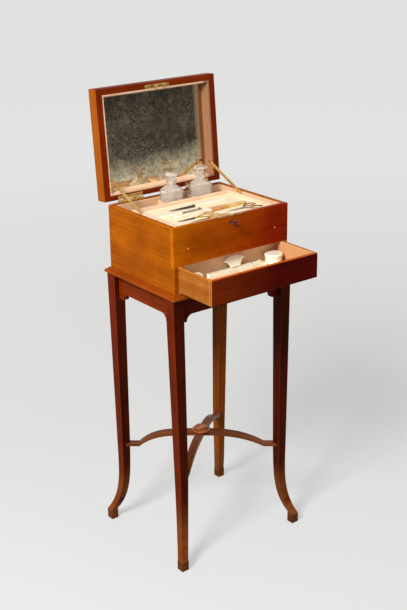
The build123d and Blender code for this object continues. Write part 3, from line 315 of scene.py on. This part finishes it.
stretcher_wood = {}
for node in ("stretcher_under", "stretcher_over"):
    stretcher_wood[node] = mahogany("mahogany_" + node, "X", stain(142, 76, 38), stain(78, 34, 13),
                                    shine=0.2, turn=-slope(node), coat=0.14)
    print(node, "lies at", round(math.degrees(slope(node)), 1), "degrees")

# %% [markdown]
# The boss over the crossing is turned on a lathe, so its rings go round its own middle.
# The distance of a point from that middle says which ring it is in. The rings could be
# cut into the mesh, but they are finer than its faces, so dark lines do the work.
# %% Turned wood for the boss
boss_rings = (0.0125, 0.0175)


def turned_wood(name, node, light, dark, rings):
    low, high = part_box(node)
    finish = Finish(name)
    middle = ((low.x + high.x) / 2, (low.y + high.y) / 2, 0)
    offset = finish.vector("SUBTRACT", finish.place(), middle)
    flat = finish.vector("MULTIPLY", offset, (1, 1, 0))
    reach = finish.vector("LENGTH", flat, out="Value")
    figure = finish.noise((20, 150, 150), 4)
    colour = finish.fade(finish.between(figure, 0.36, 0.66), dark, light)
    cuts = [finish.between(abs(reach - ring), 0.0004, 0.0011, 1.0, 0.0) for ring in rings]
    groove = sum(cuts[1:], cuts[0])
    colour = finish.fade(groove * 0.7, colour, tuple(c * 0.35 for c in dark))
    colour = finish.fade(finish.worn() * 0.7, colour, tuple(c * 1.4 + 0.03 for c in light))
    gloss = finish.between(figure, 0.3, 0.7, 0.2, 0.34)
    return finish.surface(colour, gloss, figure - groove, 0.0003,
                          Specular_IOR_Level=0.15, Coat_Weight=0.05, Coat_Roughness=0.12)


boss_wood = turned_wood("mahogany_boss", "stretcher_boss", stain(182, 104, 54),
                        stain(112, 54, 22), boss_rings)
print("rings turned", len(boss_rings))

# %% [markdown]
# Inside the box the floors are plain pine: pale, dull and never polished. It could share
# the mahogany recipe, but it has wide soft bands and no coat, so it gets a short one.
# %% Plain pine
def plain_pine(name):
    finish = Finish(name)
    rings = finish.noise((3, 60, 60), 3)
    fibre = finish.noise((12, 700, 700), 2)
    colour = finish.fade(finish.between(rings, 0.4, 0.62), stain(196, 146, 92), stain(150, 98, 54))
    colour = finish.fade(finish.between(fibre, 0.55, 0.7) * 0.3, colour, stain(104, 66, 38))
    return finish.surface(colour, 0.62, fibre, 0.0002)


pine = plain_pine("pine_boards")
print("floors get", pine.name)

# %% [markdown]
# The linings are thin cloth glued over card: pink ribbed silk in the box, the lid and
# the drawer, and cream satin in the tray. Real threads could be modelled, but they are
# far finer than the eye sees here, so three crossed waves make the weave, and slow noise
# makes the fading and the grime. One end or one height may fade to another colour.
# %% Lining cloth
def lining(name, bright, faded, grimy, part=None):
    finish = Finish(name)
    threads = []
    for axis in "XYZ":
        wave = {"wave_type": "BANDS", "bands_direction": axis}
        sockets = {"Vector": finish.place(), "Scale": 190.0}
        threads.append(finish.node("ShaderNodeTexWave", wave, sockets, "Fac"))
    weave = threads[0] + threads[1] + threads[2]
    fading = finish.noise((16, 16, 16), 4)
    grime = finish.noise((60, 60, 60), 4)
    colour = finish.fade(finish.between(fading, 0.36, 0.66), bright, faded)
    if part:
        axis, start, end, other = part
        colour = finish.fade(finish.between(finish.along(axis), start, end), colour, other)
    colour = finish.fade(finish.between(grime, 0.54, 0.78) * 0.22, colour, grimy)
    colour = finish.fade(weave * 0.05, colour, grimy)
    rubbed = tuple(min(1, c * 1.12 + 0.03) for c in bright)
    colour = finish.fade(finish.worn() * 0.5, colour, rubbed)
    height = weave * 0.3 + grime
    return finish.surface(colour, 0.72, height, 0.0002, Sheen_Weight=0.25, Sheen_Roughness=0.4)


silk = (stain(238, 200, 160), stain(222, 178, 136), stain(164, 118, 82))
pink = lining("lining_pink", *silk)

# %% [markdown]
# The drawer's lining has browned towards its right end, the lid's along its right wall,
# and the tray's satin is whiter on its floor than on its walls. Each place is taken from
# the piece itself, and the cloth fades from one colour to the other there.
# %% Linings that change along the piece
tray_base = 0.012
tray_fade = 0.0012
tray_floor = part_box("implement_tray")[0].z + tray_base
lid_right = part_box("lid_lining")[1].x
drawer_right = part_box("drawer_lining")[1].x
browned_end = ("X", drawer_right - 0.03, drawer_right - 0.008, stain(208, 152, 100))
browned_wall = ("X", lid_right - 0.02, lid_right - 0.014, stain(152, 106, 70))
white_floor = ("Z", tray_floor + tray_fade, tray_floor, stain(250, 233, 196))
drawer_pink = lining("lining_drawer", *silk, browned_end)
tan = lining("lining_tan", stain(244, 206, 168), stain(226, 182, 142), stain(150, 106, 70),
             browned_wall)
cream = lining("lining_cream", stain(244, 206, 172), stain(230, 188, 152), stain(196, 168, 128),
               white_floor)
print("tray floor at", round(tray_floor, 4))

# %% [markdown]
# The handles, the pot and the glove stretcher are old ivory: warm, waxy and dense, with
# hair-fine lines along each piece and amber in the hollows. A little light that passes
# under the surface is what sets it apart from painted wood.
# %% Old ivory
def old_ivory(name, light, amber, axis="X"):
    finish = Finish(name)
    lines = finish.noise(tuple(26 if letter == axis else 900 for letter in "XYZ"), 3)
    clouds = finish.noise((40, 40, 40), 3)
    colour = finish.fade(finish.between(clouds, 0.4, 0.7), light, amber)
    deep = tuple(c * 0.6 for c in amber)
    colour = finish.fade(finish.between(lines, 0.56, 0.72) * 0.35, colour, deep)
    gloss = finish.between(clouds, 0.3, 0.8, 0.24, 0.42)
    return finish.surface(colour, gloss, lines, 0.00006, Coat_Weight=0.2, Coat_Roughness=0.2,
                          Subsurface_Weight=0.12, Subsurface_Scale=0.003)


ivory = old_ivory("ivory", stain(255, 252, 234), stain(250, 234, 200))
ivory_turned = old_ivory("ivory_turned", stain(255, 250, 232), stain(246, 230, 196), "Z")
horn = old_ivory("horn", stain(222, 176, 98), stain(166, 112, 48))
print("ivory and horn:", ivory.name, ivory_turned.name, horn.name)

# %% [markdown]
# Brass here is mostly bright where it rubs and brown where it does not, and the steel
# has rusted in spots. All are full metals, so the tarnish goes into the colour and the
# roughness, which a lamp then shows as dull and bright places.
# %% Brass, gilt, copper and steel
def metal(name, bright, dull, smooth):
    finish = Finish(name)
    tarnish = finish.noise((150, 150, 150), 4)
    scratches = finish.noise((60, 1500, 1500), 2)
    amount = finish.between(tarnish, 0.42, 0.68)
    colour = finish.fade(amount * (1 - finish.worn() * 0.7), bright, dull)
    gloss = finish.between(tarnish + scratches * 0.3, 0.45, 0.95, smooth, smooth + 0.28)
    return finish.surface(colour, gloss, scratches, 0.00004, Metallic=1.0)


brass = metal("brass_worn", stain(196, 156, 90), stain(112, 78, 42), 0.28)
rubbed_brass = metal("brass_rubbed", stain(252, 230, 176), stain(214, 168, 104), 0.4)
hinge_brass = metal("brass_hinges", stain(226, 184, 112), stain(150, 108, 60), 0.34)
stay_brass = metal("brass_stays", stain(246, 208, 132), stain(198, 148, 80), 0.42)
gilt = metal("gilt", stain(232, 192, 112), stain(176, 126, 62), 0.24)
copper = metal("copper_worn", stain(160, 92, 68), stain(70, 38, 28), 0.3)
steel = metal("steel_worn", stain(176, 170, 160), stain(104, 82, 66), 0.26)
rusty_steel = metal("steel_rusty", stain(176, 140, 96), stain(112, 76, 48), 0.3)
dark_steel = metal("steel_browned", stain(112, 98, 84), stain(58, 42, 32), 0.3)
print("metals:", brass.name, copper.name, steel.name)

# %% [markdown]
# The nail buffer wears chamois, which is darker towards its handle and stained by the
# polishing. The bottles are clear glass with slow ripples, as blown glass has, and a warm
# film of dust, which is why not all of the light goes through.
# %% Chamois and bottle glass
def chamois(name, fade_at, fade_half):
    finish = Finish(name)
    creases = finish.noise((260, 420, 420), 4)
    stains = finish.noise((70, 70, 70), 3)
    half = finish.between(finish.along("X"), fade_at - fade_half, fade_at + fade_half)
    colour = finish.fade(half, stain(216, 148, 66), stain(238, 196, 106))
    colour = finish.fade(finish.between(stains, 0.45, 0.7) * 0.5, colour, stain(132, 80, 36))
    dull = finish.between(creases, 0.3, 0.7, 0.6, 0.85)
    return finish.surface(colour, dull, creases, 0.0005, Sheen_Weight=0.2)


def bottle_glass(name):
    finish = Finish(name)
    ripples = finish.noise((34, 34, 60), 2)
    smear = finish.noise((120, 120, 120), 3)
    dust = finish.fade(finish.between(smear, 0.4, 0.75), (1.0, 0.95, 0.88), (1.0, 0.9, 0.8))
    haze = finish.between(smear, 0.5, 0.8, 0.0, 0.03)
    return finish.surface(dust, haze, ripples, 0.0003, Transmission_Weight=0.76, IOR=1.33)


buffer_fade, buffer_fade_half = 0.058, 0.004
buffer_leather = chamois("chamois", buffer_fade, buffer_fade_half)
glass = bottle_glass("bottle_glass")
print("chamois and glass:", buffer_leather.name, glass.name)

# %% [markdown]
# The mirror is old and damaged. Pale flakes, scratches and a fine crackle lie over it,
# most of them low down, with a faint bloom everywhere. A tan strip down its right side, with
# a broken dark line along it, is a painted reflection of the lid's right lining. Each kind
# of mark is a noise of its own size. The crackle is drawn where a noise is near its middle
# value, so it makes lines, not spots.
# %% Marks on the mirror
strip_start, strip_end = 0.88, 0.94
reflected_edge_at = 0.885


def marked(finish, colour, climb, clouds):
    lower = finish.between(climb, 0.45, 0.95, 1.0, 0.3)
    specks = finish.noise((420, 420, 260), 3)
    flakes = finish.between(specks, 0.55, 0.7) * finish.between(clouds, 0.4, 0.62) * lower
    colour = finish.fade(flakes * 0.55, colour, stain(196, 186, 162))
    scratches = finish.between(finish.noise((300, 300, 900), 5, rough=0.8), 0.52, 0.7)
    colour = finish.fade(scratches * lower * 0.45, colour, stain(186, 176, 150))
    off_line = abs(finish.noise((130, 130, 120), 3, rough=0.6) - 0.5)
    cracks = finish.between(off_line, 0.006, 0.03, 1.0, 0.0) * finish.between(clouds, 0.36, 0.56)
    colour = finish.fade(cracks * lower * 0.5, colour, stain(170, 160, 140))
    bloom = finish.between(finish.noise((30, 30, 30), 6, rough=0.75), 0.5, 0.68)
    return finish.fade(bloom * 0.2, colour, stain(178, 158, 124))


# Painted reflection of the lid's right lining: a tan strip down the mirror's right side and a broken
# dark line along it.
def painted_reflection_strip(finish, colour, across, mottle):
    strip = finish.between(across, strip_start, strip_end)
    colour = finish.fade(strip * 0.75, colour, stain(186, 154, 116))
    off_reflected_edge = abs(across - reflected_edge_at)
    reflected_edge = finish.between(off_reflected_edge, 0.002, 0.006, 0.8, 0.0) * finish.between(mottle, 0.42, 0.56)
    return finish.fade(reflected_edge, colour, stain(44, 32, 22))


# The strip is a painted reflection of the lid's right lining.
print("browned strip from", strip_start, "of the mirror's width")

# %% [markdown]
# Under those marks the silver has gone brown and speckled from the middle up and is still
# sound low down, so its colour follows its own height. It could be clear glass over a
# silver sheet, but the glass is too thin to be seen, so one metal is enough here.
# %% The old mirror
def old_mirror(name, low, high):
    finish = Finish(name)
    climb = finish.between(finish.along("Z"), low.z, high.z)
    across = finish.between(finish.along("X"), low.x, high.x)
    clouds = finish.noise((11, 11, 11), 5)
    mottle = finish.noise((75, 75, 75), 5, rough=0.7)
    loss = finish.between(climb * 1.2 + clouds * 0.5 + mottle * 0.22 - 0.2, 0.17, 0.58)
    colour = finish.fade(loss, stain(255, 236, 194), stain(60, 52, 41))
    colour = finish.fade(finish.between(climb, 0.62, 0.95) * 0.75, colour, stain(40, 33, 25))
    blots = finish.between(mottle, 0.42, 0.66) * (loss * 0.55 + 0.12)
    colour = finish.fade(blots, colour, stain(42, 38, 32))
    colour = marked(finish, colour, climb, clouds)
    colour = painted_reflection_strip(finish, colour, across, mottle)
    gloss = finish.between(mottle + loss * 0.4, 0.4, 1.1, 0.03, 0.16)
    return finish.surface(colour, gloss, mottle, 0.00005, Metallic=1.0)


mirror_finish = old_mirror("mirror_spotted", *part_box("mirror"))
print("finishes so far", len(bpy.data.materials))

# %% [markdown]
# No joiner leaves an edge as sharp as a drawing. Each piece is copied, its loose
# triangles are joined into whole faces, and a narrow bevel eases every outer edge. Inside
# corners stay sharp, because a bevel there would fill them. The bevel's own faces are
# marked as worn, so the finish can rub them pale, which a Bevel modifier can't do.
# %% Ease the edges of a copy
merge_within = 1e-5
flat_within = 0.8


def joined_copy(node):
    shape = bmesh.new()
    shape.from_mesh(frame["nodes"][node].data)
    bmesh.ops.remove_doubles(shape, verts=shape.verts, dist=merge_within)
    bmesh.ops.dissolve_limit(shape, angle_limit=math.radians(flat_within), verts=shape.verts,
                             edges=shape.edges)
    return shape


def ease(shape, width, corner=32):
    """Bevel the outer edges that turn by more than corner degrees."""
    outer = [e for e in shape.edges if e.is_manifold and e.is_convex]
    edges = [e for e in outer if e.calc_face_angle() > math.radians(corner)]
    rubbed = shape.faces.layers.float.new("worn")
    made = bmesh.ops.bevel(shape, geom=edges, offset=width, offset_type="OFFSET", segments=2,
                           profile=0.5, affect="EDGES", material=-1, clamp_overlap=True)
    for face in made["faces"]:
        face[rubbed] = 1.0


trial = joined_copy("leg_front_left")
loose = len(frame["nodes"]["leg_front_left"].data.polygons)
print("a leg of", loose, "triangles becomes", len(trial.faces), "whole faces")
trial.free()

# %% [markdown]
# A finished shape becomes a piece that takes its node's place and moves with its body.
# Big flat faces beside a small bevel would look bulged, so a Weighted Normal modifier
# keeps them even, and edges that turn sharply stay sharp.
# %% Keep a finished shape as a piece
sharp_corner = 38
bodies = frame["record"]["behaviour"]["bodies"]
body_of = {node: body for body, nodes in bodies.items() for node in nodes}


def keep(shape, name, node, finish, stands_for=True):
    mesh = bpy.data.meshes.new(name)
    shape.to_mesh(mesh)
    shape.free()
    mesh.shade_smooth()
    mesh.set_sharp_from_angle(angle=math.radians(sharp_corner))
    mesh.materials.append(finish)
    piece = bpy.data.objects.new(name, mesh)
    bpy.context.scene.collection.objects.link(piece)
    even = piece.modifiers.new("even_shading", "WEIGHTED_NORMAL")
    even.keep_sharp = True
    even.weight = 90
    if stands_for:
        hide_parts(node)
    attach(piece, body_of[node])
    return piece


def eased(node, width, finish, corner=32):
    shape = joined_copy(node)
    ease(shape, width, corner)
    return keep(shape, node + "_eased", node, finish)


print("bodies that move or stand", len(bodies))

# %% [markdown]
# The carcass, the stand and the drawer are all boards, so one list is enough: the piece,
# how far its edges are worn back in millimetres, and its wood. The legs are knocked
# most, so theirs are widest. The outer faces of the left legs, which face the lamp, get a
# lighter wood: painted light on their lit side.
# %% Finish the boards
boards = [
    ("leg_front_left", 1.0, leg_wood), ("leg_front_right", 1.0, leg_wood),
    ("leg_back_left", 1.0, leg_wood), ("leg_back_right", 1.0, leg_wood_pale),
    ("apron_front", 0.8, apron_wood_x_shaded), ("apron_back", 0.8, apron_wood_x_shaded),
    ("apron_left", 0.8, apron_wood_y), ("apron_right", 0.8, apron_wood_y),
    ("case_side_left", 0.5, box_side), ("case_side_right", 0.5, box_side),
    ("case_back", 0.4, box_rear), ("case_front", 0.5, box_face),
    ("lid_board", 0.8, box_rear),
    ("drawer_side_left", 0.5, drawer_side_wood), ("drawer_side_right", 0.5, drawer_side_wood),
    ("drawer_back", 0.4, drawer_side_wood),
]
facing = 0.7
dressed = {}
for node, width, wood in boards:
    dressed[node] = eased(node, width / 1000, wood)
# Painted light: the left legs' faces towards the lamp get the lighter copy.
for node in ("leg_front_left", "leg_back_left"):
    leg = dressed[node].data
    leg.materials.append(leg_wood_lit_side)
    for face in leg.polygons:
        if face.normal.x < -facing:
            face.material_index = 1
print("boards finished", len(dressed))

# %% [markdown]
# The moulded top of the stand has small curves along its edge, so only its square corners
# are eased. The stretchers and the boss are worn like the legs, and the pine floors are
# only broken at the edge.
# %% Finish the moulding, the stretchers and the floors
square_corner = 50
eased("stand_top", 0.0003, ledge_wood, square_corner)
eased("stretcher_boss", 0.0004, boss_wood)
for node, wood in stretcher_wood.items():
    eased(node, 0.0008, wood)
floors = ("case_bottom", "dust_board", "drawer_bottom")
for node in floors:
    eased(node, 0.0003, pine)
print("floors finished", len(floors))

# %% [markdown]
# The lid's frame is four rails in one piece. The grain of the side rails runs the other
# way, so their faces get a second wood, and their sunned outsides a third. A face belongs
# to a side rail when its middle lies further out than the frame less one rail. The four
# rails could be four pieces, but they share one node, so they stay together.
# %% Finish the lid's frame
side_rail = 0.016
outer_skin = 0.004
frame_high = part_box("lid_frame")[1]
shape = joined_copy("lid_frame")
ease(shape, 0.0006)
for face in shape.faces:
    out = abs(face.calc_center_median().x)
    if abs(face.normal.x) > facing and out > frame_high.x - outer_skin:
        face.material_index = 2
    elif out > frame_high.x - side_rail:
        face.material_index = 1
lid_frame = keep(shape, "lid_frame_eased", "lid_frame", lid_wood)
lid_frame.data.materials.append(lid_wood_up)
lid_frame.data.materials.append(lid_wood_out)
print("side rail faces", sum(p.material_index > 0 for p in lid_frame.data.polygons))

# %% [markdown]
# The drawer's front gets a painted highlight on its top and its left end, the faces that
# the lamp lights from above and from the left, so it is a piece of three woods too. Here
# the way that a face looks says which wood it gets.
# %% Finish the drawer's front
turned_to = 0.6
shape = joined_copy("drawer_front")
ease(shape, 0.0010)
for face in shape.faces:
    # Painted highlight: the top faces get the bright wood, and the left end the pale side wood.
    if face.normal.z > turned_to:
        face.material_index = 1
    elif face.normal.x < -turned_to:
        face.material_index = 2
drawer_front = keep(shape, "drawer_front_eased", "drawer_front", drawer_wood)
drawer_front.data.materials.append(drawer_lit_top_wood)
drawer_front.data.materials.append(drawer_side_wood)
print("drawer front woods", len(drawer_front.data.materials))

# %% [markdown]
# Glued cloth turns every corner softly, so the linings get a wider bevel than wood. They
# are thin and held flat all over, which is why no cloth is simulated here.
# %% Finish the linings
linings = [
    ("case_lining", 0.5, pink, "pink_cloth"), ("well_rack", 0.9, pink, "pink_cloth"),
    ("lid_lining", 0.6, tan, "pink_cloth"), ("drawer_lining", 0.8, drawer_pink, "pink_cloth"),
    ("implement_tray", 0.9, cream, "cream_cloth"),
]
for node, width, cloth, slot in linings:
    eased(node, width / 1000, cloth)
print("linings finished", len(linings))

# %% [markdown]
# Brass fittings, bottles and ivory pieces keep the shapes they have. Their smallest
# edges are only a tenth or two of a millimetre, which is still what makes a bright line
# along a hinge or round a stopper.
# %% Finish the small pieces
small = [
    ("hinge_leaves_case", 0.15, hinge_brass, "brass"), ("hinge_leaves_lid", 0.15, hinge_brass, "brass"),
    ("hinge_pins", 0.1, brass, "brass"), ("hinge_screws_case", 0.1, brass, "brass"),
    ("hinge_screws_lid", 0.1, brass, "brass"), ("lock_case", 0.15, brass, "brass"),
    ("strike_plate", 0.15, brass, "brass"), ("stay_pivots", 0.15, brass, "brass"),
    ("stay_left", 0.2, stay_brass, "brass"), ("stay_right", 0.2, stay_brass, "brass"),
    ("front_studs", 0.1, rubbed_brass, "brass"), ("escutcheon", 0.1, copper, "brass"),
    ("key", 0.15, copper, "steel"), ("lock_bolt", 0.15, steel, "steel"),
    ("bottle_left", 0.5, glass, "glass"), ("bottle_right", 0.5, glass, "glass"),
    ("stopper_left", 0.4, glass, "glass"), ("stopper_right", 0.4, glass, "glass"),
    ("crescent_polisher", 0.6, ivory, "ivory"), ("small_ivory_case", 0.6, ivory, "ivory"),
    ("powder_pot", 0.4, ivory_turned, "ivory"), ("powder_pot_lid", 0.5, ivory_turned, "ivory"),
    ("mirror", 0.2, mirror_finish, "mirror_glass"),
]
for node, width, finish, slot in small:
    eased(node, width / 1000, finish)
print("small pieces finished", len(small))

# %% [markdown]
# The glove stretcher is two ivory bars that open like tongs. A fine dark line parts them
# along the middle, and a steel pin shows near each end. The line is thinner than any
# edge worth modelling, so it is drawn in the finish. The pins are small turned domes.
# %% Finish the glove stretcher
pin_at = 0.060
pin_radius = 0.0019
pin_flat = 0.35
look_within = 0.012


def middle_at(node, x):
    """The middle of a long piece from front to back near x, and its top there."""
    near = [v.co for v in frame["nodes"][node].data.vertices if abs(v.co.x - x) < look_within]
    across = [co.y for co in near]
    return Vector((x, (min(across) + max(across)) / 2, max(co.z for co in near)))


def split_ivory(name, start, end):
    finish = Finish(name)
    run = Vector((end.x - start.x, end.y - start.y, 0)).normalized()
    offset = finish.vector("SUBTRACT", finish.place(), start)
    away = abs(finish.vector("DOT_PRODUCT", offset, (-run.y, run.x, 0), "Value"))
    before_end = finish.between(finish.along("X"), end.x, end.x + 0.001, 1.0, 0.0)
    line = finish.between(away, 0.0003, 0.0008, 1.0, 0.0) * before_end
    lines = finish.noise((26, 900, 900), 3)
    clouds = finish.noise((40, 40, 40), 3)
    colour = finish.fade(finish.between(clouds, 0.4, 0.7), stain(248, 252, 228), stain(240, 230, 192))
    colour = finish.fade(finish.between(lines, 0.56, 0.72) * 0.2, colour, stain(214, 180, 128))
    colour = finish.fade(line * 0.75, colour, stain(92, 62, 38))
    gloss = finish.between(clouds, 0.3, 0.8, 0.24, 0.42)
    return finish.surface(colour, gloss, lines - line, 0.0002, Coat_Weight=0.2,
                          Coat_Roughness=0.2)


pin_left, pin_right = (middle_at("glove_stretcher", x) for x in (-pin_at, pin_at))
eased("glove_stretcher", 0.0005, split_ivory("ivory_split", pin_left, pin_right))
for label, spot in (("left", pin_left), ("right", pin_right)):
    shape = bmesh.new()
    bmesh.ops.create_uvsphere(shape, u_segments=24, v_segments=12, radius=pin_radius)
    bmesh.ops.scale(shape, vec=(1, 1, pin_flat), verts=shape.verts)
    bmesh.ops.translate(shape, vec=spot, verts=shape.verts)
    keep(shape, "glove_stretcher_pin_" + label, "glove_stretcher", dark_steel, False)
    print("glove stretcher pin", label, "at", [round(c, 3) for c in spot])

# %% [markdown]
# A table knife is a blade and a handle, so a tool that is one solid is sawn in two with
# a plane across it and each half gets its own finish. A thin slice at the saw cut,
# swollen a little, becomes the metal collar that hides the joint on a real one.
# %% Saw a tool
def slice_of(node, start, end):
    """What lies between two places along X, with the saw cuts closed. None leaves an end."""
    shape = joined_copy(node)
    for spot, keep_beyond in ((start, True), (end, False)):
        if spot is None:
            continue
        everything = shape.verts[:] + shape.edges[:] + shape.faces[:]
        cut = bmesh.ops.bisect_plane(shape, geom=everything, dist=1e-6, plane_co=(spot, 0, 0),
                                     plane_no=(1, 0, 0), clear_inner=keep_beyond,
                                     clear_outer=not keep_beyond)
        rim = [part for part in cut["geom_cut"] if isinstance(part, bmesh.types.BMEdge)]
        bmesh.ops.holes_fill(shape, edges=rim, sides=0)
    bmesh.ops.recalc_face_normals(shape, faces=shape.faces)
    return shape


# %% [markdown]
# Each tool is named with the place of its joint along X, and with what its left and its
# right part are. The scissors have no collar, because their bows and blades are forged in
# one piece and only the finish changes there.
# %% Make the tools of handle and blade
collar_half = 0.0012
collar_swell = 1.06


def tool(node, joint, left, right, collar=None):
    for start, end, half in ((None, joint, left), (joint, None, right)):
        label, finish, slot = half
        shape = slice_of(node, start, end)
        ease(shape, 0.0004)
        keep(shape, node + "_" + label, node, finish)
    if collar:
        shape = slice_of(node, joint - collar_half, joint + collar_half)
        middle = sum((v.co for v in shape.verts), Vector()) / len(shape.verts)
        bmesh.ops.scale(shape, vec=(1, collar_swell, collar_swell), verts=shape.verts,
                        space=Matrix.Translation(-middle))
        ease(shape, 0.0002)
        keep(shape, node + "_collar", node, collar, False)


tool("table_knife", -0.001, ("blade", dark_steel, "steel"), ("handle", ivory, "ivory"), steel)
tool("button_hook", -0.056, ("handle", ivory, "ivory"), ("shank", steel, "steel"), steel)
tool("penknife", -0.038, ("blade", dark_steel, "steel"), ("handle", horn, "ivory"), brass)
tool("embroidery_scissors", -0.058, ("blades", dark_steel, "steel"), ("bows", gilt, "brass"))
tool("nail_scissors", 0.078, ("blades", steel, "steel"), ("bows", rusty_steel, "steel"))
print("tools sawn and collared")

# %% [markdown]
# The nail buffer is an ivory bar with chamois stretched over a soft pad. The pad is its
# own piece with well-rounded edges. A cloth simulation could crown it, but a pad a finger
# wide and stretched tight hardly moves, so a deep bevel does it.
# %% Pad the nail buffer
pad_start = 0.008
shape = slice_of("nail_buffer", None, pad_start)
ease(shape, 0.0004)
keep(shape, "nail_buffer_handle", "nail_buffer", ivory)
shape = slice_of("nail_buffer", pad_start, None)
ease(shape, 0.0016, square_corner)
pad = keep(shape, "nail_buffer_pad", "nail_buffer", buffer_leather)
print("pad faces", len(pad.data.polygons))

# %% [markdown]
# A pale floor catches the soft shadow that shows the box stands on it. It is one large
# face, and does the work of a backdrop too. Its own glow is seen only by the eye, in
# bright pieces and through glass, so it lights nothing. The glow rises with the distance
# and meets the tone of the room, so that no horizon shows when the eye is low.
# %% Lay the floor
floor_half = 30
glow_near, glow_far = 0.455, 0.62
glow_from, glow_to = 0.8, 4.0
shape = bmesh.new()
bmesh.ops.create_grid(shape, x_segments=1, y_segments=1, size=floor_half)
mesh = bpy.data.meshes.new("floor")
shape.to_mesh(mesh)
shape.free()
floor = bpy.data.objects.new("floor", mesh)
bpy.context.scene.collection.objects.link(floor)
paint = Finish("floor_paint")
reach = paint.vector("LENGTH", paint.place(), out="Value")
level = paint.between(reach, glow_from, glow_to, glow_near, glow_far)
glow = paint.fade(paint.shown() * level, (0, 0, 0), (1, 1, 0.99))
mesh.materials.append(paint.surface((0.31, 0.31, 0.307), 0.9, Emission_Color=glow,
                                    Emission_Strength=1.0))
print("floor laid", 2 * floor_half, "m across")

# %% [markdown]
# The light is plain and soft: a large lamp high on the left, which puts the shadows on
# the right, and a weak one from the front. One lamp alone would leave the drawer's front
# nearly black.
# %% Hang the lamps
def lamp(name, power, size, at, to):
    data = bpy.data.lights.new(name, "AREA")
    data.energy = power
    data.size = size
    lit = bpy.data.objects.new(name, data)
    lit.location = at
    lit.rotation_euler = (Vector(to) - Vector(at)).to_track_quat("-Z", "Y").to_euler()
    bpy.context.scene.collection.objects.link(lit)


middle_height = (0, 0, 0.6)
lamp("key_lamp", 158, 1.05, (-2.6, -1.0, 2.9), middle_height)
lamp("front_lamp", 17, 1.8, (0.7, -3.4, 1.9), middle_height)
print("lamps hung", len(bpy.data.lights))

# %% [markdown]
# The room is an even pale surround. As a light it is dim, so the lamps shape the box. The
# eye, the bright pieces and the glass see a brighter one, which is the pale backdrop.
# %% Paint the room
room_light, room_tone = 0.27, 0.735
world = bpy.data.worlds.new("room")
bpy.context.scene.world = world
room = Finish("room", world)
dim_air = {"Color": (1.0, 0.985, 0.96), "Strength": room_light}
pale_air = {"Color": (1.0, 0.998, 0.99), "Strength": room_tone}
plain = room.node("ShaderNodeBackground", None, dim_air)
bright = room.node("ShaderNodeBackground", None, pale_air)
mixed = room.node("ShaderNodeMixShader", None, {0: room.shown(), 1: plain, 2: bright})
room.node("ShaderNodeOutputWorld", None, {"Surface": mixed})
print("room painted", world.name)
